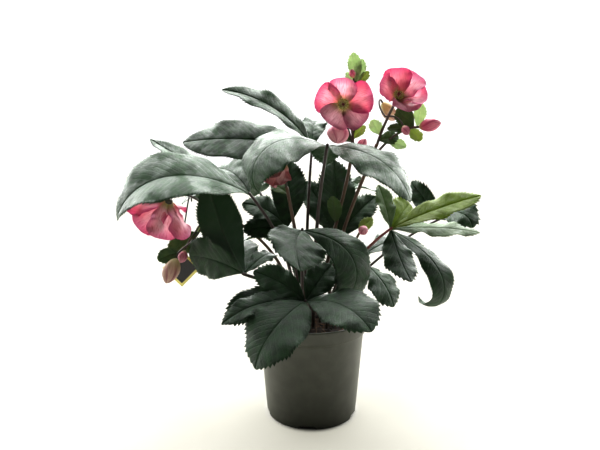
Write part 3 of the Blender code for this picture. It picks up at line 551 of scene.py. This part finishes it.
def plainMaterial(name, colour, second, scale, roughness, bumpDepth=0.0004, detail=4.0, gloss=0.4):
    # Two colours clouded by noise over the object's own coordinates, with the same noise as relief
    material, tree = newMaterial(name)
    place = node(tree, "ShaderNodeTexCoord").outputs["Object"]
    cloud = node(tree, "ShaderNodeTexNoise", {"Vector": place, "Scale": scale, "Detail": detail})
    tint = blended(tree, stepped(tree, cloud.outputs[0], 0.35, 0.7), colour, second)
    bump = node(tree, "ShaderNodeBump", {"Strength": 0.5, "Distance": bumpDepth, "Height": cloud.outputs[0]})
    surface = node(tree, "ShaderNodeBsdfPrincipled", {"Base Color": tint, "Roughness": roughness,
                                                      "Specular IOR Level": gloss, "Normal": bump.outputs[0]})
    finishMaterial(tree, surface.outputs[0])
    return material


# Pot and soil

pot = dict(height=136, rim=75, band=18, step=3, foot=62, wall=1.8, floor=2.5, wallTop=71.5, sides=180,
           notches=5, notchTurn=-96, notchWidth=19, notchHeight=4.5, notchDepth=9)


def potRings():
    # The wall's profile turned: foot, taper wall, a fine moulding line, rim band, and the inside
    low, high, foot, rim = 0, pot["height"], pot["foot"], pot["rim"]
    step = high - pot["band"]
    wallTop = pot["wallTop"]
    outside = [(0.5, 0), (foot - 10, 0), (foot - 9, 0), (foot - 2.6, 0), (foot - 1.5, 0.1), (foot - 0.6, 0.6),
               (foot - 0.15, 1.4), (foot, 2.6), (foot + 0.3, 6)]
    outside += [(foot + (wallTop - foot) * s, step * s) for s in (0.12, 0.25, 0.4, 0.55, 0.7, 0.85, 0.96)]
    outside += [(wallTop - 0.05, step - 1.4), (wallTop + 0.25, step - 0.7), (rim - 1.6, step - 0.3),
                (rim - 0.9, step + 0.2), (rim - 0.6, step + 1.2), (rim - 0.35, step + 6),
                (rim - 0.1, high - 3.5), (rim, high - 1.7), (rim - 0.25, high - 0.7), (rim - 0.8, high - 0.1)]
    inside = [(rim - 1.7, high), (rim - 2.4, high - 0.2), (rim - 2.8, high - 1), (rim - 3.1, high - 4),
              (rim - 3.2, step + 2), (rim - 3.6, step), (wallTop - pot["wall"], step - 2.5),
              (foot - 2.0, 8), (foot - 2.8, pot["floor"] + 1), (foot - 4, pot["floor"]), (0.5, pot["floor"])]
    turns = np.arange(pot["sides"]) / pot["sides"] * tau

    def lifted(turn, share, r):
        # Notches lift the underside and the wall's foot; just inside them the floor lifts too
        away = np.degrees((turn - math.radians(pot["notchTurn"]) + math.pi / pot["notches"])
                          % (tau / pot["notches"]) - math.pi / pot["notches"])
        halfTurn = math.degrees(pot["notchWidth"] / 2 / foot)
        notch = np.clip((halfTurn - np.abs(away)) / 0.9 + 0.5, 0, 1)
        return notch * pot["notchHeight"] * (r > foot - pot["notchDepth"] - 0.5)

    profile = np.array(outside + inside, float)
    rings, uv = turnedRings(profile, pot["sides"])
    r = profile[:, :1] * np.ones(pot["sides"])
    lift = lifted(turns[None, :], None, r)
    count = len(outside)
    level = rings[..., 2]
    shell = np.arange(len(profile))[:, None] < count
    keep = np.where(shell, level < pot["notchHeight"], level < pot["notchHeight"] + 1)
    raised = np.where(shell, np.maximum(level, lift), np.maximum(level, (lift > 0) * (lift + 1.4)))
    rings[..., 2] = np.where(keep & (lift > 0), raised, level)
    return rings, uv


pile = startPile()
rings, uv = potRings()
addRings(pile, rings, uv, 0.5, 0)
potPlastic = plainMaterial("potPlastic", (0.064, 0.069, 0.044), (0.084, 0.088, 0.060), 60.0, 0.40, 0.0003,
                          8.0, 0.8)
makePiece("potShell", pile, [potPlastic], ["pot"])
print("pot made")

soilTop, soilCrown = 121, 5


def soilHeight(x, y):
    # Lumps as a sum of sines at odd angles, over a low crown
    high = soilTop + soilCrown * (1 - (x * x + y * y) / 71.0 ** 2)
    for k, (scale, size) in enumerate(((11, 1.1), (6.1, 0.8), (3.3, 0.5), (1.9, 0.3))):
        a = 0.7 + 1.9 * k
        high = high + size * np.sin((x * math.cos(a) + y * math.sin(a)) / scale * 2 + k) \
            * np.sin((y * math.cos(a) - x * math.sin(a)) / scale * 2.3 + 2 * k)
    return high


pile = startPile()
wall = [(58.9, 2.95), (63.5, 60), (69.2, 115), (71.2, 119), (71.3, 120.4)]
top = [(71.3 * s, 0) for s in np.linspace(0.99, 0.02, 56)]
rings, uv = turnedRings(wall + top, 160)
flat = rings[len(wall):]
flat[..., 2] = soilHeight(flat[..., 0], flat[..., 1])
addRings(pile, rings, uv, 0.5, 0)
peat = plainMaterial("peat", (0.010, 0.007, 0.005), (0.040, 0.024, 0.014), 160.0, 0.95, 0.0015, 8.0)
fibre = plainMaterial("fibre", (0.110, 0.055, 0.028), (0.220, 0.130, 0.070), 90.0, 0.9)
makePiece("soilBed", pile, [peat], ["soil"])

rng = np.random.default_rng(21)
pile = startPile()
for k in range(230):
    # A fibre or crumb that lies on the soil: a bent thin rod, or a short fat one
    spread = 64 * math.sqrt(rng.uniform(0, 1))
    turn, way = rng.uniform(0, tau, 2)
    crumb = k % 3 == 0
    reach = rng.uniform(2, 4) if crumb else rng.uniform(7, 22)
    t = np.linspace(-0.5, 0.5, 5)
    x = spread * math.cos(turn) + reach * t * math.cos(way) + rng.uniform(-2, 2) * t * t * 4
    y = spread * math.sin(turn) + reach * t * math.sin(way) + rng.uniform(-2, 2) * t * t * 4
    keep = np.minimum(1, 69 / np.maximum(np.hypot(x, y), 1))
    x, y = x * keep, y * keep
    z = soilHeight(x, y) + (0.9 if crumb else rng.uniform(0.3, 1.4))
    addStalk(pile, np.stack([x, y, z], -1), rng.uniform(0.9, 1.7) if crumb else rng.uniform(0.18, 0.4), 0.5,
             1 if crumb else 0, sides=6)
makePiece("soilFibres", pile, [fibre, peat])
print("soil made")


# Leaves

leaves = {
    "leafLeftFront": dict(node="leaf_left_front", foot=(-26, -18), hub=(-86, -58, 207), up=58,
        reach=34, stalk=2.6, leaflets=[
        (146, 28, 132, 39, 26, 0.9, -8, -138, 10),
        (106, 27, 161, 33, -43, 0.6, -35, 96, 8),
        (100, 21, 99, 35, -38, 0.9, -2, -4, 18),
        (74, 12, 44, 36, -59, 1.3, 31, -18, 11)]),
    "leafLeft": dict(node="leaf_left", foot=(-22, -2), hub=(-82, -8, 303), up=90, reach=50, stalk=2.6,
        leaflets=[
        (200, 46, -140, 25, -103, 1.9, -48, 35, 11),
        (181, 20, 154, 22, 5, 1.5, 2, 17, 15),
        (112, 27, 122, 38, -44, 1.0, 4, 34, 14)]),
    "leafTop": dict(node="leaf_top", foot=(2, -20), hub=(18, -35, 365), up=110, reach=70, stalk=2.8,
        leaflets=[
        (146, 43, -147, 18, -148, 1.8, -30, 26, -4),
        (138, 38, -43, -1, -75, 1.5, 33, -18, 0),
        (78, 22, 84, 2, -50, 1.3, 10, 0, 14)]),
    "leafBackLeft": dict(node="leaf_back_left", foot=(-8, 12), hub=(1, 48, 363), up=110, reach=60,
        stalk=2.6, leaflets=[
        (188, 36, -161, 12, -20, 1.1, -39, 46, 7),
        (160, 21, -179, 64, -57, 0.8, -15, 36, 18),
        (84, 18, 97, 61, -64, 1.2, -38, -12, 13)]),
    "leafCentre": dict(node="leaf_centre", foot=(-13, -26), hub=(-13, -48, 261), up=60, reach=40,
        stalk=2.4, leaflets=[
        (162, 31, -11, -9, -197, 1.7, 8, -43, -1),
        (82, 37, -110, -3, -42, 0.8, 38, 25, 13)]),
    "leafLowLeft": dict(node="leaf_low_left", foot=(-3, -36), hub=(-9, -80, 179), up=20, reach=22,
        stalk=2.4, leaflets=[
        (108, 17, -168, 10, -51, 1.3, 2, 27, 12),
        (99, 38, -29, 14, -60, 1.4, -20, -13, 8),
        (116, 38, -113, 3, -86, 1.3, -46, 16, 5),
        (76, 18, 166, 40, -30, 1.0, -6, 56, 10),
        (60, 18, 40, 50, -20, 1.0, 6, -40, 10)]),
    "leafLowSide": dict(node="leaf_low_side", foot=(-18, -36), hub=(-24, -58, 177), up=20, reach=20,
        stalk=2.2, leaflets=[
        (92, 22, -177, 5, -50, 1.3, 34, 40, 10)]),
    "leafRightYoung": dict(node="leaf_right_young", foot=(24, -10), hub=(103, -18, 258), up=40,
        reach=60, stalk=2.4, leaflets=[
        (126, 18, -17, 30, -19, 1.0, 32, -36, 12),
        (111, 18, -14, 7, -16, 1.3, -6, -18, 2),
        (64, 20, 33, 50, -43, 0.9, 35, -54, 8),
        (62, 13, 125, 74, -16, 1.0, 0, 10, 20)]),
    "leafRight": dict(node="leaf_right", foot=(30, -2), hub=(105, -5, 256), up=40, reach=56, stalk=2.2,
        leaflets=[
        (78, 25, -68, -60, 16, 1.1, 7, 5, 0),
        (170, 19, -37, -25, -222, 2.9, -14, -13, -2)]),
    "leafLowRight": dict(node="leaf_low_right", foot=(20, -26), hub=(75, -10, 207), up=34, reach=30,
        stalk=2.2, leaflets=[
        (66, 26, -41, -33, -45, 1.5, 4, -9, 0)]),
    "leafRightBack": dict(node="leaf_right_back", foot=(31, 5), hub=(180, 38, 262), up=44, reach=60,
        stalk=2.2, leaflets=[
        (64, 25, -38, 47, -136, 1.4, 3, -34, 3),
        (70, 15, 172, 57, -13, 1.0, -58, 74, 15)]),
    "leafMiddle": dict(node="leaf_middle", foot=(10, 14), hub=(38, 30, 236), up=50, reach=24,
        stalk=2.2, leaflets=[
        (116, 27, 100, 82, -16, 1.0, 0, 0, 12),
        (98, 22, 150, 65, -20, 1.0, -6, 44, 12),
        (84, 20, 14, 60, -30, 1.0, 10, -48, 12)]),
    "leafMiddleLeft": dict(node="leaf_middle_left", foot=(-16, 8), hub=(-34, 24, 252), up=50, reach=24,
        stalk=2.2, leaflets=[
        (98, 24, 80, 80, -16, 1.0, 0, 0, 12),
        (78, 19, 172, 56, -60, 1.0, -12, 44, 12),
        (62, 17, 182, 16, -40, 1.0, 0, 62, 12)]),
    "leafBackLow": dict(node="leaf_back_low", foot=(0, 24), hub=(-1, 36, 150), up=12, reach=10,
        stalk=2.2, leaflets=[
        (82, 17, 132, 74, -6, 1.0, 0, 40, 10),
        (72, 17, 34, 45, -6, 1.0, 0, -50, 10)]),
}

backRng = np.random.default_rng(11)
backFan = 46
for k, (turn, away, level) in enumerate(((34, 104, 206), (70, 90, 296), (108, 112, 214), (148, 92, 304))):
    angle = math.radians(turn)
    rows = [(124 + backRng.integers(-12, 13), 29 + backRng.integers(-3, 4), turn + fan, 24 - 6 * abs(fan) / backFan,
             -72 + backRng.integers(-12, 13), 1.3, fan * 0.2, backRng.integers(-10, 11), 12)
            for fan in (-backFan, 0, backFan)]
    leaves[f"leafBack{k + 1}"] = dict(
        node=f"leaf_back_{k + 1}", foot=(28 * math.cos(angle), 10 + 22 * math.sin(angle)),
        hub=(away * math.cos(angle), away * math.sin(angle) + 22, level), up=(level - soilTop) * 0.45, reach=46,
        stalk=2.4, leaflets=rows)

holeDepth = 14
# lower leaves take the darker, duller leaf material, which is partly painted shade
shadedBelow = 280             # leaves that stand higher than this have the pale waxy sheen


def footOf(foot):
    return np.array([*foot, soilTop - holeDepth]), np.array([*foot, soilTop + soilCrown + 2.0])


def leafPath(leaf):
    bottom, start = footOf(leaf["foot"])
    hub = np.array(leaf["hub"], float)
    away = (hub - start) * (1, 1, 0.45)
    away /= np.linalg.norm(away)
    curve = bezier([start, start + (0, 0, leaf["up"]), hub - away * leaf["reach"], hub + away * 2],
                   np.linspace(0, 1, 34))
    return np.vstack([[bottom, (bottom + start) / 2], curve])


for number, (name, leaf) in enumerate(leaves.items()):
    pile = startPile()
    path = leafPath(leaf)
    radius = leaf["stalk"] * np.interp(np.arange(len(path)), [0, 2, len(path) - 1], [1, 1, 0.8])
    radius[:3] *= 0.96
    addStalk(pile, path, radius, 0.5, 1, groove=0.25)
    young = name == "leafRightYoung"
    # the choice by height puts painted shade on the low leaves
    blade = leafWaxy if leaf["hub"][2] > shadedBelow else leafLowShaded
    for k, row in enumerate(leaf["leaflets"]):
        addBlade(pile, leaf["hub"], row, leafStyle, 100 * number + k, slot=2 if young and k % 2 else 0)
    makePiece(name, pile, [leafYoung, youngStalk, leafSage] if young else [blade, leafStalk], [leaf["node"]])
print("leaves made")


# Flowering stems

# A bract row is: stalk, place along it, length, half width, heading, climb, bend, roll, and its
# shade: 0 green, 2 pale, partly painted backlight on bracts lit through from behind, 3 dark
stems = {
    "stemFront": dict(node="stem_front", foot=(12, 0), stalks=[
        ([(12, 0, 128), (16, 6, 230), (50, 12, 300), (54, 10, 366)], 2.6),
        ([(54, 10, 362), (58, 10, 392), (40, 4, 420), (38.4, -20.1, 417.8)], 1.9),
        ([(54, 9, 368), (44, 4, 402), (38, 0, 406), (36, -6, 391.5)], 1.5),
        ([(54, 10, 378), (62, 16, 410), (60, 12, 430), (57, 9, 449)], 1.5),
        ([(54, 10, 356), (56, 9, 355), (59, 7, 356), (61, 6, 360)], 1.3),
        ([(57, 9, 445), (56, 6, 446), (54, 3, 448), (53, 1, 452)], 1.2)],
        bracts=[
        (3, 0.97, 40, 9, 128, 84, -4, 34, 2), (3, 0.93, 36, 8, 40, 74, -6, -40, 2),
        (3, 0.90, 22, 6, 178, 44, 20, 60, 2), (3, 0.92, 24, 6, -4, 36, 26, -60, 0),
        (1, 0.14, 24, 7, -10, 56, -20, -60, 0), (1, 0.10, 26, 7, 176, 30, 10, 60, 3),
        (0, 0.50, 44, 10, -110, 76, -20, 0, 3)]),
    "stemRight": dict(node="stem_right", foot=(22, 6), stalks=[
        ([(22, 6, 128), (26, 10, 230), (62, 10, 300), (86, 7, 368)], 2.6),
        ([(86, 7, 366), (92, 9, 388), (106, 14, 414), (109.4, 2.4, 423.6)], 2.0),
        ([(97, 10, 404), (86, 22, 420), (91, 30, 435), (96, 30, 424)], 1.4),
        ([(76, 8, 342), (92, 12, 364), (112, 8, 390), (139.6, 0, 390)], 1.9),
        ([(97, 10, 404), (106, 8, 406), (115, 2, 403), (118, -5, 391.5)], 1.3)],
        bracts=[
        (3, 0.97, 32, 8, 34, 74, 0, -60, 2), (3, 0.93, 34, 12, 164, 44, 10, 74, 3),
        (3, 0.90, 34, 7, -174, 2, -10, 60, 3), (3, 0.82, 24, 9, -20, -30, -20, -50, 0),
        (1, 0.20, 24, 9, 150, 60, 0, 50, 2), (1, 0.10, 28, 10, 4, 16, -10, -60, 3),
        (3, 0.45, 26, 8, -10, -10, -10, -60, 2)]),
    "stemLeft": dict(node="stem_left", foot=(-24, 12), stalks=[
        ([(-24, 12, 128), (-30, 34, 230), (-110, 44, 262), (-152, 20, 288)], 2.4),
        ([(-150, 21, 287), (-158, 2, 300), (-176, -32, 312), (-184.6, -23.5, 298.2)], 1.8),
        ([(-146, 23, 285), (-152, 30, 226), (-176, -30, 239), (-176, -31, 221)], 1.4),
        ([(-146, 23, 285), (-149, 24, 256), (-170, 0, 240), (-170, -8, 227)], 1.2)],
        bracts=[
        (2, 0.30, 54, 15, -174, -26, -30, 86, 3), (2, 0.80, 32, 10, 176, -16, -10, 86, 3),
        (3, 0.50, 30, 9, 60, 10, -40, -30, 0)]),
    "stemCentre": dict(node="stem_centre", foot=(-6, -8), stalks=[
        ([(-6, -8, 128), (-10, -8, 200), (-22, -14, 250), (-33, -14, 312)], 2.4),
        ([(-33, -14, 308), (-38, -14, 340), (-36, -20, 360), (-40, -26, 347)], 1.7)],
        bracts=[(0, 0.95, 30, 9, 150, 40, -30, 40, 3)]),
    "stemLow": dict(node="stem_low", foot=(20, 17), stalks=[
        ([(20, 17, 128), (34, 24, 180), (72, 20, 262), (67, 2, 251)], 1.8)],
        bracts=[(0, 0.78, 30, 8, 20, 60, -30, -50, 0)]),
}

for number, (name, stem) in enumerate(stems.items()):
    pile = startPile()
    for k, (points, radius) in enumerate(stem["stalks"]):
        path = bezier(points, np.linspace(0, 1, 30))
        if k == 0:
            bottom, start = footOf(stem["foot"])
            path = np.vstack([[bottom, (bottom + start) / 2], path])
        addStalk(pile, path, np.interp(np.arange(len(path)), [0, len(path) - 1], [radius * 0.96, radius * 0.9]), 0.5, 1)
    for k, (stalk, along, length, half, heading, climb, bend, roll, shade) in enumerate(stem["bracts"]):
        start = bezier(stem["stalks"][stalk][0], [along])[0]
        addBlade(pile, start, (length, half, heading, climb, bend, 1.0, 0, roll, 12), bractStyle,
                 900 + 20 * number + k, slot=shade)
    makePiece(name, pile, [bractGreen, flowerStalk, bractPaleBacklit, bractDark], [stem["node"]])
print("stems made")


# Blooms and buds

# A sepal row is: turn round the bloom, length, half width, cup, bend
blooms = {
    "bloomFront": dict(node="bloom_front", middle=(38, -25, 417), face=(-0.08, -0.97, -0.16), sepals=[
        (24, 39, 20, 20, -10), (94, 34, 18, 24, -6), (163, 36, 19, 18, -14), (240, 30, 21, 16, -4),
        (320, 36, 16, 22, -22)]),
    "bloomRight": dict(node="bloom_right", middle=(110, -2, 427), face=(0.12, -0.80, 0.58), sepals=[
        (100, 38, 18, 38, -8), (44, 40, 19, 32, -6), (-12, 38, 19, 26, -10), (-66, 31, 21, 24, -18),
        (176, 34, 18, 44, -20)]),
    "bloomLeft": dict(node="bloom_left", middle=(-186, -20, 294), face=(-0.34, 0.46, -0.82), sepals=[
        (216, 54, 22, 46, -8), (276, 50, 21, 48, -8), (330, 52, 21, 44, -12), (20, 58, 20, 26, -10),
        (110, 44, 21, 48, -10)]),
}
sepalTilt = 13
sepalPaleAndLit = {            # how pale each sepal is, partly its own colour and partly painted backlight where the light behind shines through; a minus sign marks one drawn in the darker sepal material as painted shade
    "bloomFront": (0.10, 1.0, 0.30, -0.90, -0.45),
    "bloomRight": (0.15, 1.0, 0.45, -0.30, 0.20),
    "bloomLeft": (0.60, 1.0, 0.45, 0.10, 0.30),
}
nectary = plainMaterial("nectary", (0.380, 0.400, 0.090), (0.560, 0.530, 0.160), 300.0, 0.5)
anther = plainMaterial("anther", (0.620, 0.540, 0.230), (0.850, 0.780, 0.450), 500.0, 0.7)
style = plainMaterial("style", (0.260, 0.060, 0.080), (0.380, 0.130, 0.120), 300.0, 0.5)


def bloomPiles(name, bloom, number):
    frameAxes = (axesOf(bloom["face"]), np.array(bloom["middle"], float))
    petals, heart = startPile(), startPile()
    profile = smoothProfile([(0.3, -4.4), (2.4, -4.3), (4.2, -2.6), (4.8, 0.4), (3.2, 2.0), (0.3, 2.3)], 16)
    rings, uv = turnedRings(profile, 20)
    addRings(petals, rings @ frameAxes[0] + frameAxes[1], uv, 0.2, 1)
    for k, (turn, length, half, cup, bend) in enumerate(bloom["sepals"]):
        row = (length, half, turn, cup, bend, 1.0, 0, sepalTilt, 2)
        # a minus sign picks the darker sepal material, painted shade
        pale = sepalPaleAndLit[name][k]
        addBlade(petals, (0, 0, -0.6), row, petalStyle, 500 + 10 * number + k, slot=2 if pale < 0 else 0,
                 frameAxes=frameAxes, tone=abs(pale))
    rng = np.random.default_rng(40 + number)
    tilt = math.radians(55)
    for k in range(14):
        # Nectaries: short curved tubes in a ring
        turn = k / 14 * tau + rng.uniform(-0.1, 0.1)
        out = np.array([math.cos(turn), math.sin(turn), 0])
        rise = np.array([0, 0, 1.0])
        tip = out * (3.6 + 3.6 * math.cos(tilt)) + rise * (2.6 + 4.4 * math.sin(tilt) + rng.uniform(-0.4, 0.4))
        path = bezier([out * 2.6 + rise * 2.6, out * 4.2 + rise * 2.8, tip - rise * 1.2, tip], np.linspace(0, 1, 7))
        addStalk(heart, path @ frameAxes[0] + frameAxes[1], np.linspace(0.7, 1.25, 7), 0.5, 0, sides=7)
    for k in range(46):
        # Stamens: thin threads that carry a small anther
        turn, lean = k * 2.39996, math.radians(18 + 52 * math.sqrt((k + 0.5) / 46))
        out = np.array([math.cos(turn), math.sin(turn), 0]) * math.sin(lean) + np.array([0, 0, math.cos(lean)])
        reach = rng.uniform(6.6, 8.8)
        path = np.array([(0, 0, 2.4), out * reach * 0.5 + (0, 0, 2.4), out * reach + (0, 0, 2.0)])
        addStalk(heart, path @ frameAxes[0] + frameAxes[1], 0.16, 0.5, 1, sides=5)
        end = path[-1] + np.outer(np.linspace(-0.7, 0.7, 5), out)
        addStalk(heart, end @ frameAxes[0] + frameAxes[1], np.array([0.35, 0.6, 0.68, 0.6, 0.35]), 0.5, 1, sides=7)
    for k in range(5):
        turn = k / 5 * tau
        out = np.array([math.cos(turn), math.sin(turn), 0])
        path = bezier([out * 0.6 + (0, 0, 2.2), out * 1.2 + (0, 0, 5), out * 1.0 + (0, 0, 8), out * 1.9 + (0, 0, 9.6)],
                      np.linspace(0, 1, 8))
        addStalk(heart, path @ frameAxes[0] + frameAxes[1], np.linspace(0.9, 0.4, 8), 0.5, 2, sides=7)
    return petals, heart


for number, (name, bloom) in enumerate(blooms.items()):
    petals, heart = bloomPiles(name, bloom, number)
    makePiece(name + "Petals", petals, [petalRose, flowerStalk, petalShaded], [bloom["node"] + "_petals"])
    makePiece(name + "Heart", heart, [nectary, anther, style], [bloom["node"] + "_centre"])

# A bud row is: node, stem, stalk, length, radius, and how pale it is
buds = {
    "budRound": ("bud_round", "stemFront", 2, 25, 13.5, 0.75),
    "budLevel": ("bud_level", "stemRight", 3, 28, 8, 0.0),
    "budDroop": ("bud_droop", "stemLeft", 2, 36, 10, 0.7),
    "budPale": ("bud_pale", "stemRight", 2, 30, 9, 1.0),
    "budTip": ("bud_tip", "stemRight", 4, 15, 5, 0.4),
    "budSide": ("bud_side", "stemLeft", 3, 18, 6, 0.6),
    "budLow": ("bud_low", "stemLow", 0, 17, 6, 0.8),
    "budInner": ("bud_inner", "stemFront", 4, 18, 6, 0.5),
    "budTop": ("bud_top", "stemFront", 5, 12, 4, 0.1),
}


def stalkEnd(stem, stalk):
    curve = bezier(stems[stem]["stalks"][stalk][0], np.linspace(0, 1, 6))
    ahead = curve[-1] - curve[-2]
    return axesOf(ahead), curve[-1] + ahead / np.linalg.norm(ahead) * 0.4


def budRings(length, radius):
    # An egg whose five folded sepals overlap: the radius climbs over each fifth of the turn and
    # falls at its fold, and the folds wind as they rise
    profile = smoothProfile([(0.4, 0.0), (radius * 0.22, 0.0), (radius * 0.66, length * 0.14), (radius, length * 0.38),
                             (radius * 0.95, length * 0.66), (radius * 0.48, length * 0.9), (0.3, length)], 40)

    def folds(turn, share):
        part = (turn / tau * 5 + 1.1 * share) % 1
        rise = np.interp(part, [0, 0.88, 1], [0, 1, 0])
        return 1 + 0.085 * (rise - 0.3) * np.sin(math.pi * np.clip(share * 1.05, 0, 1)) ** 0.5

    rings, uv = turnedRings(profile, 100, folds)
    part = (uv[..., 0] * 5 + 1.1 * uv[..., 1]) % 1
    rim = np.interp(part, [0, 0.12, 0.7, 0.9, 1], [1, 0.1, 0, 0.8, 1])
    uv = np.stack([uv[..., 1] * length * 0.1, (part - 0.5) * radius * 0.12], -1)
    return rings, uv, rim


for name, (nodeName, stem, stalk, length, radius, pale) in buds.items():
    pile = startPile()
    turnTo, start = stalkEnd(stem, stalk)
    rings, uv, rim = budRings(length, radius)
    addRings(pile, rings @ turnTo + start, uv, pale, 0, rim=rim)
    makePiece(name, pile, [budGreen if name in ("budDroop", "budPale") else budPink], [nodeName])

pile = startPile()
turnTo, start = stalkEnd("stemCentre", 1)
for k in range(5):
    row = (36, 13, 72 * k + 10, 58, 38, 0.6, 0, 12, -14)
    addBlade(pile, (1.6 * math.cos(math.radians(row[2])), 1.6 * math.sin(math.radians(row[2])), 0.4), row,
             dict(petalStyle, shape=(0.7, 0.35), arch=0.2), 600 + k, frameAxes=(turnTo, start))
makePiece("budBell", pile, [petalBell], ["bud_bell"])
print("blooms made")


# Tag

tag = dict(side=38, thick=0.8, middle=(-181, 14, 198),
           hook=((-181, 14, 223), (-172, 36, 300), (-164, 14, 318), (-162, 5, 292)))
pile = startPile()
half = tag["side"] / math.sqrt(2)
steps = np.linspace(-1, 1, 9)
cross, tall = np.meshgrid(steps, steps)
card = np.stack([(cross - tall) / 2 * half, np.zeros_like(cross), (cross + tall) / 2 * half], -1) + tag["middle"]
uv = np.stack([cross, tall], -1)
shellFromSheet(pile, card - (0, tag["thick"] / 2, 0), card + (0, tag["thick"] / 2, 0), uv, 0.5, 0)
addStalk(pile, bezier(tag["hook"], np.linspace(0, 1, 30)), 1.0, 0.5, 1, sides=8)
tagPlastic = plainMaterial("tagPlastic", (0.030, 0.030, 0.032), (0.040, 0.040, 0.042), 60.0, 0.4)


def tagFace(border):
    # A dark card with a plain yellow border: the map runs from -1 to 1 both ways across it
    material, tree = newMaterial("tagFace")
    split = node(tree, "ShaderNodeSeparateXYZ", {0: uvMap(tree)})
    reach = maths(tree, "MAXIMUM", maths(tree, "ABSOLUTE", split.outputs["X"]),
                  maths(tree, "ABSOLUTE", split.outputs["Y"]))
    cloud = node(tree, "ShaderNodeTexNoise", {"Vector": uvMap(tree), "Scale": 6.0, "Detail": 3.0})
    dark = blended(tree, cloud.outputs[0], (0.030, 0.030, 0.032), (0.045, 0.045, 0.047))
    yellow = blended(tree, cloud.outputs[0], (0.900, 0.800, 0.240), (0.940, 0.860, 0.340))
    colour = blended(tree, stepped(tree, reach, border, border + 0.02), dark, yellow)
    surface = node(tree, "ShaderNodeBsdfPrincipled", {"Base Color": colour, "Roughness": 0.35})
    finishMaterial(tree, surface.outputs[0])
    return material


makePiece("tagCard", pile, [tagFace(0.8), tagPlastic], ["tag"])


# Floor

floorMesh = bpy.data.meshes.new("floor")
floorMesh.from_pydata([(-6, -3, 0), (6, -3, 0), (6, 9, 0), (-6, 9, 0)], [], [(0, 1, 2, 3)])
floor = bpy.data.objects.new("floor", floorMesh)
scene.collection.objects.link(floor)
floorMaterial, tree = newMaterial("floorCloth")
place = node(tree, "ShaderNodeTexCoord").outputs["Object"]
cloth = node(tree, "ShaderNodeTexNoise", {"Vector": place, "Scale": 9.0, "Detail": 5.0})
tint = blended(tree, stepped(tree, cloth.outputs[0], 0.3, 0.7), (0.70, 0.690, 0.645), (0.77, 0.760, 0.715))
seen = node(tree, "ShaderNodeLightPath").outputs["Is Camera Ray"]
tint = blended(tree, seen, (0.46, 0.45, 0.41), tint)      # the floor throws back less light
cloth = node(tree, "ShaderNodeBsdfDiffuse", {0: tint})
# painted light: the camera sees most of the cloth as an even glow that paints out the cast shadow, except under the
# pot's foot; other rays see a little of the glow too
lit = node(tree, "ShaderNodeEmission", {0: (0.66, 0.645, 0.56, 1), 1: 1.0})
away = node(tree, "ShaderNodeVectorMath", {0: place}, operation="LENGTH").outputs["Value"]
share = maths(tree, "MULTIPLY", maths(tree, "MULTIPLY_ADD", seen, 0.66, 0.04), stepped(tree, away, 0.058, 0.07))                # softens the shadow the camera sees
finishMaterial(tree, node(tree, "ShaderNodeMixShader", {0: share, 1: cloth.outputs[0], 2: lit.outputs[0]}).outputs[0])
floorMesh.materials.append(floorMaterial)
